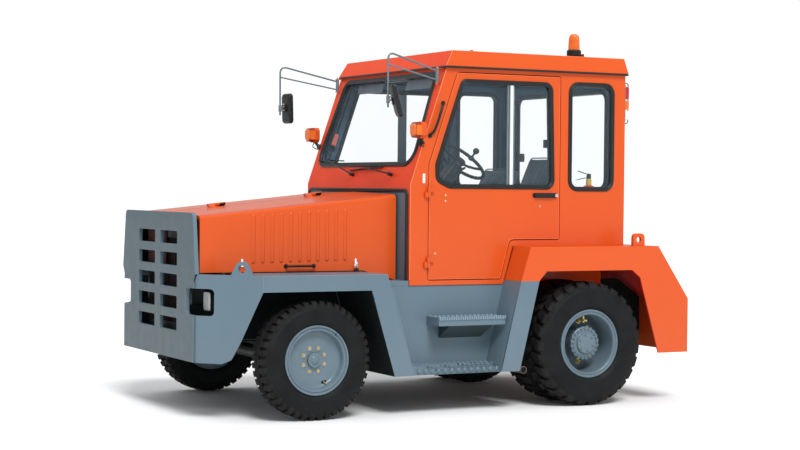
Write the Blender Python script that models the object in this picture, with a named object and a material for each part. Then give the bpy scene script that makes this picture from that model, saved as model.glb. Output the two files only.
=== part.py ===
"""Airport baggage tug with an enclosed cab: +X forward, +Y to the driver's left, +Z up, in metres.

The origin is on the ground, midway along the vehicle and across it. Every solid is an object of
its own, and a solid that moves has its origin on the axis that it turns about.
"""

from math import atan2, cos, pi, radians, sin, tan

import bmesh
import bpy
from mathutils import Matrix, Vector

# Overall sizes
LENGTH = 3.66  # nose plate to the end of the tow coupling
BODY_WIDTH = 1.97  # across the fenders and the step boxes
CAB_WIDTH = 1.544
WHEELBASE = 2.01
FRONT_OVERHANG = 0.70  # front axle to the nose plate's face
REAR_OVERHANG = 0.80  # rear axle to the rear plate's face

# Clearances
SEAT = 0.0003  # between two solids that are fastened together
RUNNING = 0.0005  # beside a hinge knuckle or a spindle
PANEL_GAP = 0.006  # round a door or a hood half
FLUSH = 0.0005  # keeps welded plates from sharing a plane

TURN_STEPS = 28  # facets of a wheel, a multiple of four so that one corner meets the ground

# Heights
SILL_Z = 0.255
FENDER_Z = 0.903
DECK_Z = 1.066
FLOOR_Z = 0.815
FOLD_Z = 1.469  # where the cab's front starts to lean back
GUTTER_Z = 2.235
ROOF_Z = 2.349
NOSE_LOW_Z = 0.358
NOSE_TOP_Z = 1.28

# Plates and walls
PLATE = 0.012
NOSE_PLATE = 0.025
CAB_WALL = 0.036
HOOD_SHEET = 0.020
GLASS = 0.006

# Places that follow from the overall sizes
NOSE_X = LENGTH / 2
FRONT_AXLE_X = NOSE_X - FRONT_OVERHANG
REAR_AXLE_X = FRONT_AXLE_X - WHEELBASE
REAR_X = REAR_AXLE_X - REAR_OVERHANG
BODY_Y = BODY_WIDTH / 2
CAB_Y = CAB_WIDTH / 2
CAB_FRONT_X = FRONT_AXLE_X - 0.736
CAB_REAR_X = REAR_AXLE_X - 0.405
SIDES = (("left", 1), ("right", -1))


# Materials and makers of solids


def material(name, colour, roughness, metallic=0.0):
    made = bpy.data.materials.new(name)
    made.use_nodes = True
    shader = made.node_tree.nodes["Principled BSDF"]
    shader.inputs["Base Color"].default_value = (*colour, 1)
    shader.inputs["Roughness"].default_value = roughness
    shader.inputs["Metallic"].default_value = metallic
    made.diffuse_color = (*colour, 1)
    return made


def solid(name, mesh, surface, smooth=None):
    """An object from a bmesh, its faces turned outwards. Edges below the angle smooth look round."""
    bmesh.ops.recalc_face_normals(mesh, faces=mesh.faces)
    data = bpy.data.meshes.new(name)
    mesh.to_mesh(data)
    mesh.free()
    data.materials.append(surface)
    if smooth:
        data.shade_smooth()
        data.set_sharp_from_angle(angle=smooth)
    made = bpy.data.objects.new(name, data)
    bpy.context.scene.collection.objects.link(made)
    return made


def loft(name, sections, surface, smooth=None):
    """Joins outlines of as many points each, in order, and closes both ends."""
    mesh = bmesh.new()
    rings = [[mesh.verts.new(point) for point in section] for section in sections]
    for first, second in zip(rings, rings[1:]):
        for i in range(len(first)):
            j = (i + 1) % len(first)
            mesh.faces.new((first[i], first[j], second[j], second[i]))
    mesh.faces.new(rings[0])
    mesh.faces.new(rings[-1])
    return solid(name, mesh, surface, smooth)


def prism(name, outline, axis, low, high, surface):
    """Extrudes an outline along an axis. Its pairs are the two other coordinates, in X, Y, Z order."""

    def place(pair, along):
        point = list(pair)
        point.insert("xyz".index(axis), along)
        return point

    sections = [[place(pair, along) for pair in outline] for along in sorted((low, high))]
    return loft(name, sections, surface)


def block(name, low, high, surface):
    outline = [(low[0], low[1]), (high[0], low[1]), (high[0], high[1]), (low[0], high[1])]
    return prism(name, outline, "z", low[2], high[2], surface)


def turned(name, profile, centre, surface, steps=TURN_STEPS):
    """Turns a closed profile of (radius, distance along Y) pairs about an axis along Y."""
    mesh = bmesh.new()
    rings = []
    for k in range(steps):
        angle = 2 * pi * k / steps
        rings.append([
            mesh.verts.new((centre[0] + r * cos(angle), centre[1] + y, centre[2] + r * sin(angle)))
            for r, y in profile
        ])
    for k in range(steps):
        first, second = rings[k], rings[(k + 1) % steps]
        for i in range(len(profile)):
            j = (i + 1) % len(profile)
            if profile[i][0] == 0 and profile[j][0] == 0:
                continue
            mesh.faces.new((first[i], first[j], second[j], second[i]))
    bmesh.ops.remove_doubles(mesh, verts=mesh.verts, dist=1e-6)
    return solid(name, mesh, surface, radians(35))


def rod(name, start, end, radius, surface, sides=20):
    start, end = Vector(start), Vector(end)
    turn = (end - start).to_track_quat("Z", "Y").to_matrix()
    angles = [2 * pi * k / sides for k in range(sides)]
    circle = [Vector((radius * cos(angle), radius * sin(angle), 0)) for angle in angles]
    sections = [[centre + turn @ point for point in circle] for centre in (start, end)]
    return loft(name, sections, surface, radians(35))


def helper(made):
    made.hide_render = True
    made.display_type = "WIRE"
    return made


def boolean(target, operation, tools):
    for tool in tools:
        step = target.modifiers.new(tool.name, "BOOLEAN")
        step.operation = operation
        step.solver = "EXACT"
        step.object = helper(tool)


def cut(target, *tools):
    boolean(target, "DIFFERENCE", tools)


def join(target, *tools):
    boolean(target, "UNION", tools)


def hang(pieces, name, point):
    """Puts the pieces' origins on an axis, under an empty there."""
    pivot = bpy.data.objects.new(name, None)
    pivot.location = point
    bpy.context.scene.collection.objects.link(pivot)
    for piece in pieces:
        piece.data.transform(Matrix.Translation(-Vector(point)))
        piece.parent = pivot
        for step in piece.modifiers:
            step.object.data.transform(Matrix.Translation(-Vector(point)))
            step.object.parent = pivot


# Outlines


def inset(outline, distance):
    """The outline with each side moved inwards by a distance, or outwards by a negative one."""
    points = [Vector(point) for point in outline]
    area = sum(a.x * b.y - b.x * a.y for a, b in zip(points, points[1:] + points[:1]))
    turn = 1 if area > 0 else -1
    moved = []
    for i, here in enumerate(points):
        first = (here - points[i - 1]).normalized()
        second = (points[(i + 1) % len(points)] - here).normalized()
        one = Vector((-first.y, first.x)) * turn
        other = Vector((-second.y, second.x)) * turn
        moved.append(tuple(here + (one + other) * distance / (1 + one.dot(other))))
    return moved


def rounded(outline, radii, steps=4):
    """The outline with arcs at its corners: one radius for all, or one for each."""
    if not isinstance(radii, (list, tuple)):
        radii = [radii] * len(outline)
    points = [Vector(point) for point in outline]
    result = []
    for i, here in enumerate(points):
        if not radii[i]:
            result.append(tuple(here))
            continue
        back = (points[i - 1] - here).normalized()
        ahead = (points[(i + 1) % len(points)] - here).normalized()
        half = back.angle(ahead) / 2
        start = here + back * radii[i] / tan(half)
        centre = here + (back + ahead).normalized() * radii[i] / sin(half)
        sweep = (start - centre).angle_signed(here + ahead * radii[i] / tan(half) - centre)
        for k in range(steps + 1):
            turn = Matrix.Rotation(-sweep * k / steps, 2)
            result.append(tuple(centre + turn @ (start - centre)))
    return result


def rectangle(low, high):
    return [(low[0], low[1]), (high[0], low[1]), (high[0], high[1]), (low[0], high[1])]


for old in list(bpy.data.objects):
    bpy.data.objects.remove(old)

ORANGE = material("orange_paint", (0.80, 0.13, 0.02), 0.32)
GREY = material("grey_paint", (0.16, 0.24, 0.30), 0.45)
DARK = material("dark_steel", (0.05, 0.055, 0.06), 0.55, 0.4)
RUBBER = material("rubber", (0.02, 0.02, 0.022), 0.8)
CLEAR = material("glass", (0.75, 0.82, 0.84), 0.05)
TRIM = material("black_plastic", (0.03, 0.03, 0.03), 0.6)
CLOTH = material("seat_vinyl", (0.20, 0.26, 0.31), 0.6)
LAMP = material("lamp_lens", (0.85, 0.85, 0.82), 0.15)
AMBER = material("amber_lens", (0.9, 0.25, 0.02), 0.2)
RED = material("red_lens", (0.6, 0.02, 0.02), 0.25)
STEEL = material("bare_steel", (0.45, 0.44, 0.42), 0.35, 0.9)

# Chassis: two rails, cross members, mounts for the engine and the front axle

RAIL_Y = 0.44
RAIL_PLATE = 0.03
AXLE_BEAM_TOP = 0.42
FRAME_LOW_Z = 0.46
RADIATOR_SEAT_Z = 0.50
CAB_SEAT_Z = FLOOR_Z - SEAT
NOSE_BACK_X = NOSE_X - NOSE_PLATE
REAR_PLATE_X = REAR_X + PLATE
ENGINE_Y = 0.25

rail_outline = [
    (NOSE_BACK_X - SEAT, FRAME_LOW_Z),
    (NOSE_BACK_X - SEAT, 0.70),
    (CAB_FRONT_X + 0.16, 0.70),
    (CAB_FRONT_X - 0.01, CAB_SEAT_Z),
    (REAR_PLATE_X + 0.19, CAB_SEAT_Z),
    (REAR_PLATE_X + SEAT, 0.68),
    (REAR_PLATE_X + SEAT, 0.40),
    (REAR_AXLE_X - 0.50, 0.40),
    (REAR_AXLE_X - 0.34, 0.58),
    (REAR_AXLE_X + 0.34, 0.58),
    (REAR_AXLE_X + 0.46, 0.38),
    (FRONT_AXLE_X - 0.52, 0.38),
    (FRONT_AXLE_X - 0.40, FRAME_LOW_Z),
]
rail_inner = RAIL_Y - RAIL_PLATE
chassis = prism("chassis_frame", rail_outline, "y", rail_inner, RAIL_Y, GREY)
join(chassis, prism("rail_right", rail_outline, "y", -rail_inner, -RAIL_Y, GREY))
overlap = 0.01
for number, (x_low, x_high, z_low, z_high) in enumerate((
    (NOSE_X - 0.19, NOSE_BACK_X - 0.02, FRAME_LOW_Z, RADIATOR_SEAT_Z),
    (FRONT_AXLE_X - 0.06, FRONT_AXLE_X + 0.06, FRAME_LOW_Z, FRAME_LOW_Z + 0.045),
    (REAR_AXLE_X + 0.62, REAR_AXLE_X + 0.70, 0.39, 0.46),
    (REAR_AXLE_X - 0.44, REAR_AXLE_X - 0.38, 0.60, 0.78),
    (REAR_PLATE_X + SEAT, REAR_PLATE_X + 0.05, 0.41, 0.66),
)):
    reach = rail_inner + overlap
    join(
        chassis, block(f"cross_member_{number}", (x_low, -reach, z_low), (x_high, reach, z_high), GREY)
    )
pivot_low = (FRONT_AXLE_X - 0.045, -0.07, AXLE_BEAM_TOP + SEAT)
join(chassis, block("axle_pivot", pivot_low, (FRONT_AXLE_X + 0.045, 0.07, FRAME_LOW_Z + 0.02), GREY))
for number, x in enumerate((FRONT_AXLE_X + 0.16, FRONT_AXLE_X - 0.30)):
    for side, sign in SIDES:
        ends = sorted((sign * (ENGINE_Y + SEAT), sign * (rail_inner + overlap)))
        low, high = (x, ends[0], 0.60), (x + 0.08, ends[1], 0.65)
        join(chassis, block(f"engine_mount_{side}_{number}", low, high, GREY))

# Engine with its gearbox behind it, and the radiator

engine_outline = [
    (FRONT_AXLE_X + 0.40, 0.52),
    (FRONT_AXLE_X + 0.40, 1.12),
    (FRONT_AXLE_X - 0.34, 1.12),
    (FRONT_AXLE_X - 0.42, 0.74),
    (FRONT_AXLE_X - 1.05, 0.74),
    (FRONT_AXLE_X - 1.05, 0.52),
]
engine = prism("engine_block", engine_outline, "y", -ENGINE_Y, ENGINE_Y, DARK)
radiator_low = (NOSE_X - 0.16, -rail_inner + 0.012, RADIATOR_SEAT_Z + SEAT)
radiator_high = (NOSE_X - 0.08, rail_inner - 0.012, 1.19)
radiator = block("radiator", radiator_low, radiator_high, DARK)

# Nose: a thick plate with ten windows, bent back on both sides to the fenders

NOSE_HALF_TOP = 0.61
NOSE_HALF_LOW = 0.66
BEND_START_Y = 0.645
BEND_RADIUS = 0.12
FENDER_FRONT_X = FRONT_AXLE_X + 0.388
WINDOW_WIDTH = 0.305
WINDOW_HEIGHT = 0.082
WINDOW_PITCH = 0.1365
WINDOW_TOP_Z = 1.16
WINDOW_INNER_Y = 0.045
LAMP_LOW_Z, LAMP_HIGH_Z = 0.648, 0.815
LAMP_INNER_Y, LAMP_OUTER_Y = 0.505, 0.745

nose_outline = [
    (-NOSE_HALF_LOW + 0.03, NOSE_LOW_Z),
    (NOSE_HALF_LOW - 0.03, NOSE_LOW_Z),
    (NOSE_HALF_LOW - 0.03, FENDER_Z - 0.05),
    (NOSE_HALF_LOW, FENDER_Z),
    (NOSE_HALF_TOP, NOSE_TOP_Z),
    (-NOSE_HALF_TOP, NOSE_TOP_Z),
    (-NOSE_HALF_LOW, FENDER_Z),
    (-NOSE_HALF_LOW + 0.03, FENDER_Z - 0.05),
]
nose_outline = rounded(nose_outline, [0, 0, 0, 0, 0.035, 0.035, 0, 0])
nose = prism("nose_plate", nose_outline, "x", NOSE_BACK_X, NOSE_X, GREY)


def bevel_plan(sign):
    """The bent side plate from above: from the nose plate round the bend to the fender's front end."""
    outer = [(NOSE_X, 0.55), (NOSE_X, BEND_START_Y), (FENDER_FRONT_X + SEAT, BODY_Y)]
    bent = rounded(outer, [0, BEND_RADIUS, 0], 5)
    ring = inset(bent + [(FENDER_FRONT_X + SEAT, 0.55)], NOSE_PLATE)
    inner = ring[1 : len(bent) - 1]
    direction = Vector(bent[-1]) - Vector(bent[-2])
    last = Vector(inner[-1])
    end = last + direction * ((FENDER_FRONT_X + SEAT - last.x) / direction.x)
    plan = bent + [tuple(end)] + inner[::-1] + [(NOSE_BACK_X, 0.55)]
    return [(x, sign * y) for x, y in plan]


for side, sign in SIDES:
    join(nose, prism(f"bent_side_{side}", bevel_plan(sign), "z", NOSE_LOW_Z, FENDER_Z, GREY))
    shelf = [
        (NOSE_BACK_X + 0.005, sign * 0.60),
        (NOSE_BACK_X + 0.005, sign * 0.65),
        (FENDER_FRONT_X + 0.02, sign * (BODY_Y - 0.045)),
        (FENDER_FRONT_X + SEAT, sign * (BODY_Y - 0.045)),
        (FENDER_FRONT_X + SEAT, sign * 0.60),
    ]
    join(nose, prism(f"shelf_{side}", shelf, "z", FENDER_Z - 0.022, FENDER_Z - 0.010, GREY))
    # The lamp plate ends inside the bent side, wherever the width puts it.
    plate_end = BEND_START_Y + (BODY_Y - BEND_START_Y) * 0.456
    ends = sorted((sign * 0.52, sign * plate_end))
    lamp_plate = block(
        f"lamp_plate_{side}", (NOSE_X - 0.175, ends[0], 0.64), (NOSE_X - 0.16, ends[1], 0.83), GREY
    )
    join(nose, lamp_plate)
    for row in range(5):
        top = WINDOW_TOP_Z - row * WINDOW_PITCH
        ends = sorted((sign * WINDOW_INNER_Y, sign * (WINDOW_INNER_Y + WINDOW_WIDTH)))
        window = rounded(rectangle((ends[0], top - WINDOW_HEIGHT), (ends[1], top)), 0.008, 2)
        cut(nose, prism(f"window_{side}_{row}", window, "x", NOSE_BACK_X - 0.01, NOSE_X + 0.01, GREY))
    ends = sorted((sign * LAMP_INNER_Y, sign * LAMP_OUTER_Y))
    opening = rounded(rectangle((ends[0], LAMP_LOW_Z), (ends[1], LAMP_HIGH_Z)), 0.025)
    cut(nose, prism(f"lamp_opening_{side}", opening, "x", NOSE_X - 0.155, NOSE_X + 0.01, GREY))
    eye_plan = Vector((FENDER_FRONT_X, sign * BODY_Y)) - Vector((NOSE_X, sign * BEND_START_Y))
    along = eye_plan.normalized()
    across = Vector((along.y, -along.x)) * -sign
    start = Vector((NOSE_X, sign * BEND_START_Y)) + eye_plan * 0.69
    eye = rounded([(-0.075, 0), (0.075, 0), (0.028, 0.087), (-0.028, 0.087)], [0, 0, 0.03, 0.03])
    sections = []
    for depth in (0.001, NOSE_PLATE - 0.001):
        sections.append([
            (*(start + along * u + across * depth), FENDER_Z - 0.004 + v) for u, v in eye
        ])
    join(nose, loft(f"lift_eye_{side}", sections, GREY))
    hole = Vector((*start, FENDER_Z + 0.038))
    outwards = Vector((*across, 0)) * 0.06
    cut(nose, rod(f"lift_hole_{side}", hole - outwards, hole + outwards, 0.024, GREY))
corner = [
    (FENDER_FRONT_X - 0.05, 0.80),
    (FENDER_FRONT_X, 0.80),
    (FENDER_FRONT_X + 0.099, 0.491),
    (FENDER_FRONT_X + 0.140, 0.385),
    (FENDER_FRONT_X + 0.185, NOSE_LOW_Z - 0.001),
    (FENDER_FRONT_X + 0.185, 0.30),
    (FENDER_FRONT_X - 0.05, 0.30),
]
cut(nose, prism("side_plate_corner", corner, "y", -BODY_Y - 0.05, BODY_Y + 0.05, GREY))

for side, sign in SIDES:
    low_y, high_y = sorted((sign * 0.545, sign * 0.675))
    back_x = NOSE_X - 0.16 + SEAT
    lamp_outline = rounded(rectangle((low_y, 0.668), (high_y, 0.796)), 0.02, 2)
    prism(f"headlamp_{side}", lamp_outline, "x", back_x, back_x + 0.075, LAMP)

# Front fenders: top, outer band with its strut, inner wall and the wall behind the wheel

FENDER_BAND = 0.10
STRUT_TOP_X = FRONT_AXLE_X - 0.465
STRUT_LOW_X = FRONT_AXLE_X - 0.653
STRUT_INNER_TOP_X = FRONT_AXLE_X - 0.358
STRUT_INNER_LOW_X = FRONT_AXLE_X - 0.524
WALL_Y = RAIL_Y + SEAT

band_low_z = FENDER_Z - FENDER_BAND
band = [
    (FENDER_FRONT_X, FENDER_Z),
    (STRUT_TOP_X, FENDER_Z),
    (STRUT_LOW_X, SILL_Z),
    (STRUT_INNER_LOW_X, SILL_Z),
    (STRUT_INNER_TOP_X, band_low_z),
    (FENDER_FRONT_X, band_low_z),
]
wheel_wall = [
    (STRUT_INNER_LOW_X, SILL_Z),
    (STRUT_INNER_TOP_X, band_low_z),
    (STRUT_INNER_TOP_X, FENDER_Z - 0.003),
    (STRUT_INNER_TOP_X - PLATE, FENDER_Z - 0.003),
    (STRUT_INNER_TOP_X - PLATE, band_low_z),
    (STRUT_INNER_LOW_X - PLATE, SILL_Z),
]
inner_wall = [
    (FENDER_FRONT_X, FRAME_LOW_Z + 0.01),
    (FENDER_FRONT_X, FENDER_Z - 0.003),
    (STRUT_INNER_TOP_X - PLATE, FENDER_Z - 0.003),
    (STRUT_INNER_TOP_X - PLATE, band_low_z),
    (STRUT_INNER_LOW_X, FRAME_LOW_Z + 0.01),
]
for side, sign in SIDES:
    outer, inner = sign * BODY_Y, sign * (BODY_Y - PLATE)
    fender = prism(f"front_fender_{side}", band, "y", outer, inner, GREY)
    top = sorted((sign * WALL_Y, sign * (BODY_Y - 0.002)))
    top_low = (STRUT_TOP_X, top[0], FENDER_Z - PLATE)
    join(fender, block(f"fender_top_{side}", top_low, (FENDER_FRONT_X, top[1], FENDER_Z), GREY))
    join(
        fender,
        prism(f"wheel_wall_{side}", wheel_wall, "y", sign * WALL_Y, sign * (BODY_Y - 0.002), GREY),
    )
    join(
        fender,
        prism(f"inner_wall_{side}", inner_wall, "y", sign * WALL_Y, sign * (WALL_Y + PLATE), GREY),
    )

# Step boxes: a set-back panel between the struts, the rear strut and two steps

PANEL_Y = CAB_Y - 0.007
REAR_STRUT_TOP_X = REAR_AXLE_X + 0.555
REAR_STRUT_LOW_X = REAR_AXLE_X + 0.700
STRUT_WIDTH = 0.14
BOX_TOP_Z = FLOOR_Z - SEAT - 0.002
STRUT_JOINT_Z = 0.842
STEP_Z = 0.310
MID_STEP_Z = 0.615
MID_STEP_LENGTH = 0.50
MID_STEP_REACH = 0.165

strut_slope = (REAR_STRUT_LOW_X - REAR_STRUT_TOP_X) / (SILL_Z - STRUT_JOINT_Z)
front_slope = (STRUT_LOW_X - STRUT_TOP_X) / (SILL_Z - FENDER_Z)


def rear_strut_x(z):
    return REAR_STRUT_LOW_X + strut_slope * (z - SILL_Z)


def front_strut_x(z):
    return STRUT_LOW_X + front_slope * (z - SILL_Z) - SEAT


panel = [
    (front_strut_x(SILL_Z), SILL_Z),
    (front_strut_x(BOX_TOP_Z), BOX_TOP_Z),
    (rear_strut_x(BOX_TOP_Z) - PLATE / 2, BOX_TOP_Z),
    (rear_strut_x(SILL_Z) - PLATE / 2, SILL_Z),
]
strut_top_z = STRUT_JOINT_Z - SEAT
rear_strut = [
    (rear_strut_x(SILL_Z), SILL_Z),
    (rear_strut_x(strut_top_z), strut_top_z),
    (rear_strut_x(strut_top_z) - STRUT_WIDTH, strut_top_z),
    (rear_strut_x(SILL_Z) - STRUT_WIDTH, SILL_Z),
]
front_return = [
    (front_strut_x(SILL_Z), SILL_Z),
    (front_strut_x(BOX_TOP_Z), BOX_TOP_Z),
    (front_strut_x(BOX_TOP_Z) - PLATE, BOX_TOP_Z),
    (front_strut_x(SILL_Z) - PLATE, SILL_Z),
]
rear_return = [
    (rear_strut_x(SILL_Z), SILL_Z),
    (rear_strut_x(strut_top_z), strut_top_z),
    (rear_strut_x(strut_top_z) - PLATE, strut_top_z),
    (rear_strut_x(SILL_Z) - PLATE, SILL_Z),
]
front_return = inset(front_return, FLUSH)
rear_return = inset(rear_return, FLUSH)
step_middle_x = (rear_strut_x(MID_STEP_Z) + 0.03) + MID_STEP_LENGTH / 2
for side, sign in SIDES:
    deep = sign * (PANEL_Y - PLATE)
    near = sign * (BODY_Y - 0.001)
    box = prism(f"step_box_{side}", panel, "y", deep, sign * PANEL_Y, GREY)
    join(
        box, prism(f"rear_strut_{side}", rear_strut, "y", sign * (BODY_Y - PLATE), sign * BODY_Y, GREY)
    )
    join(box, prism(f"rear_return_{side}", rear_return, "y", sign * (PANEL_Y - PLATE / 2), near, GREY))
    join(
        box, prism(f"front_return_{side}", front_return, "y", sign * (PANEL_Y - PLATE / 2), near, GREY)
    )
    step = [
        (front_strut_x(SILL_Z) - 0.001, SILL_Z + 0.001),
        (front_strut_x(STEP_Z) - 0.001, STEP_Z),
        (rear_strut_x(STEP_Z) - 0.001, STEP_Z),
        (rear_strut_x(SILL_Z) - 0.001, SILL_Z + 0.001),
    ]
    join(
        box,
        prism(
            f"low_step_{side}", step, "y", sign * (PANEL_Y - PLATE / 2), sign * (BODY_Y - 0.012), GREY
        ),
    )
    tread = [
        (step_middle_x - MID_STEP_LENGTH / 2, sign * (PANEL_Y - PLATE / 2)),
        (step_middle_x + MID_STEP_LENGTH / 2, sign * (PANEL_Y - PLATE / 2)),
        (step_middle_x + MID_STEP_LENGTH / 2, sign * (PANEL_Y + MID_STEP_REACH)),
        (step_middle_x - MID_STEP_LENGTH / 2, sign * (PANEL_Y + MID_STEP_REACH)),
    ]
    join(box, prism(f"mid_step_{side}", tread, "z", MID_STEP_Z - 0.055, MID_STEP_Z, GREY))
    gusset = [
        (sign * (PANEL_Y - PLATE / 2), MID_STEP_Z - 0.15),
        (sign * (PANEL_Y - PLATE / 2), MID_STEP_Z - 0.03),
        (sign * (PANEL_Y + MID_STEP_REACH - 0.02), MID_STEP_Z - 0.03),
        (sign * (PANEL_Y + MID_STEP_REACH - 0.02), MID_STEP_Z - 0.06),
    ]
    half = MID_STEP_LENGTH / 2 - 0.09
    join(box, prism(f"gusset_{side}", gusset, "x", step_middle_x - half, step_middle_x + half, GREY))
    for number, x in enumerate((FRONT_AXLE_X - 0.74, REAR_AXLE_X + 0.68)):
        ends = sorted((sign * WALL_Y, sign * (PANEL_Y - PLATE / 2)))
        low, high = (x, ends[0], 0.56), (x + 0.03, ends[1], 0.74)
        join(box, block(f"outrigger_{side}_{number}", low, high, GREY))

# Rear body: deck, both fenders and the rear plate, open below

FENDER_FRONT_TOP_X = REAR_AXLE_X + 0.485
DECK_REAR_X = REAR_AXLE_X - 0.545
SLOPE_END_Z = 0.703
REAR_LOW_Z = 0.335
ARCH_Z = 0.905
joint_x = rear_strut_x(STRUT_JOINT_Z)
rear_outline = [
    (joint_x, STRUT_JOINT_Z),
    (FENDER_FRONT_TOP_X, DECK_Z),
    (DECK_REAR_X, DECK_Z),
    (REAR_X, SLOPE_END_Z),
    (REAR_X, REAR_LOW_Z),
    (REAR_X + 0.245, REAR_LOW_Z),
    (REAR_AXLE_X - 0.396, 0.854),
    (REAR_AXLE_X - 0.331, ARCH_Z),
    (REAR_AXLE_X + 0.356, ARCH_Z),
    (joint_x - STRUT_WIDTH, STRUT_JOINT_Z),
]
skin_outline = [
    (joint_x, STRUT_JOINT_Z),
    (FENDER_FRONT_TOP_X, DECK_Z),
    (DECK_REAR_X, DECK_Z),
    (REAR_X, SLOPE_END_Z),
    (REAR_X, REAR_LOW_Z),
    (REAR_X - 0.30, REAR_LOW_Z),
    (REAR_X - 0.30, DECK_Z + 0.30),
    (joint_x + 0.30, DECK_Z + 0.30),
    (joint_x + 0.30, STRUT_JOINT_Z),
]
rear_body = prism("rear_body", rear_outline, "y", -BODY_Y, BODY_Y, ORANGE)
inner_skin = inset(rear_outline, PLATE)
hollow = [
    (inner_skin[0][0], STRUT_JOINT_Z - 0.10),
    inner_skin[0],
    inner_skin[1],
    inner_skin[2],
    inner_skin[3],
    (inner_skin[4][0], REAR_LOW_Z - 0.10),
]
hollow_y = BODY_Y - PLATE
cut(rear_body, prism("rear_hollow", hollow, "y", -hollow_y, hollow_y, ORANGE))
underside = [
    (joint_x + 0.10, STRUT_JOINT_Z - 0.05),
    (joint_x + 0.10, DECK_Z - PLATE),
    (FENDER_FRONT_TOP_X - PLATE * 1.5, DECK_Z - PLATE),
    (FENDER_FRONT_TOP_X - PLATE * 1.5, STRUT_JOINT_Z - 0.05),
]
under_cab_y = CAB_Y + 0.004
cut(rear_body, prism("cab_notch", underside, "y", -under_cab_y, under_cab_y, ORANGE))
EYE_X = DECK_REAR_X + 0.145
for side, sign in SIDES:
    ends = sorted((sign * WALL_Y, sign * (WALL_Y + PLATE)))
    low = (REAR_AXLE_X - 0.44, ends[0], 0.60)
    high = (FENDER_FRONT_TOP_X - PLATE, ends[1], DECK_Z - PLATE / 2)
    join(rear_body, block(f"well_wall_{side}", low, high, ORANGE))
    eye = rounded(
        [(EYE_X - 0.048, 0), (EYE_X + 0.048, 0), (EYE_X + 0.048, 0.09), (EYE_X - 0.048, 0.09)],
        [0, 0, 0.03, 0.03],
    )
    eye = [(x, DECK_Z - 0.004 + z) for x, z in eye]
    eye_y = sorted((sign * (BODY_Y - 0.05), sign * (BODY_Y - 0.025)))
    join(rear_body, prism(f"rear_eye_{side}", eye, "y", eye_y[0], eye_y[1], ORANGE))
    hole = rod(
        f"rear_eye_hole_{side}",
        (EYE_X, eye_y[0] - 0.01, DECK_Z + 0.043),
        (EYE_X, eye_y[1] + 0.01, DECK_Z + 0.043),
        0.020,
        ORANGE,
    )
    cut(rear_body, hole)

# Cab shell: walls, stepped floor and windscreen frame

LEAN_TOP_X = CAB_FRONT_X - 0.262
STEP_BACK_X = FENDER_FRONT_TOP_X
cab_outline = [
    (CAB_FRONT_X, FLOOR_Z),
    (CAB_FRONT_X, FOLD_Z),
    (LEAN_TOP_X, GUTTER_Z),
    (CAB_REAR_X, GUTTER_Z),
    (CAB_REAR_X, DECK_Z + SEAT),
    (STEP_BACK_X + 0.008, DECK_Z + SEAT),
    (joint_x + 0.012, FLOOR_Z),
]
cab = prism("cab_shell", cab_outline, "y", -CAB_Y, CAB_Y, ORANGE)
room = inset(cab_outline, CAB_WALL)
lean = (CAB_FRONT_X - LEAN_TOP_X) / (GUTTER_Z - FOLD_Z)
open_top_z = GUTTER_Z + 0.02
room[2] = (room[2][0] - (open_top_z - room[2][1]) * lean, open_top_z)
room[3] = (room[3][0], open_top_z)
cab_inner_y = CAB_Y - CAB_WALL
cut(cab, prism("cab_room", room, "y", -cab_inner_y, cab_inner_y, ORANGE))

DOOR_FRONT_X = CAB_FRONT_X - 0.139
DOOR_REAR_X = CAB_REAR_X + 0.533
DOOR_LOW_Z = FLOOR_Z + CAB_WALL
DOOR_TOP_Z = GUTTER_Z - 0.032
DOOR_BEND_Z = 1.60
DOOR_NOTCH_Z = DECK_Z + 0.044
door_outline = [
    (DOOR_FRONT_X, DOOR_LOW_Z),
    (DOOR_FRONT_X, DOOR_BEND_Z),
    (DOOR_FRONT_X - (DOOR_TOP_Z - DOOR_BEND_Z) * lean, DOOR_TOP_Z),
    (DOOR_REAR_X, DOOR_TOP_Z),
    (DOOR_REAR_X, DOOR_NOTCH_Z),
    (STEP_BACK_X + 0.034, DOOR_NOTCH_Z),
    (joint_x + 0.033, DOOR_LOW_Z),
]
door_outline = rounded(door_outline, [0.01, 0, 0.03, 0.01, 0.01, 0.045, 0.01])
door_window = [
    (DOOR_FRONT_X - 0.152, 1.458),
    (DOOR_FRONT_X - 0.060, 1.50),
    (DOOR_FRONT_X - 0.058, 1.60),
    (DOOR_FRONT_X - 0.247, 2.150),
    (DOOR_REAR_X + 0.073, 2.150),
    (DOOR_REAR_X + 0.052, 1.458),
]
door_window = rounded(door_window, [0.08, 0.05, 0.05, 0.035, 0.05, 0.05])
side_window = rounded(rectangle((CAB_REAR_X + 0.103, 1.448), (CAB_REAR_X + 0.451, 2.160)), 0.06)
REAR_WINDOW = rounded(rectangle((-0.60, 1.45), (0.60, 2.13)), 0.07)
HINGE_X = DOOR_FRONT_X + 0.007
HINGE_Y = CAB_Y + 0.014
HINGE_RADIUS = 0.012
HINGE_LENGTH = 0.035
HINGE_HEIGHTS = (0.965, 1.42)
cut(cab, prism("rear_window_cut", REAR_WINDOW, "x", CAB_REAR_X - 0.02, CAB_REAR_X + 0.06, ORANGE))
prism(
    "rear_glass", inset(REAR_WINDOW, SEAT), "x", CAB_REAR_X + 0.010, CAB_REAR_X + 0.010 + GLASS, CLEAR
)
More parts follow.
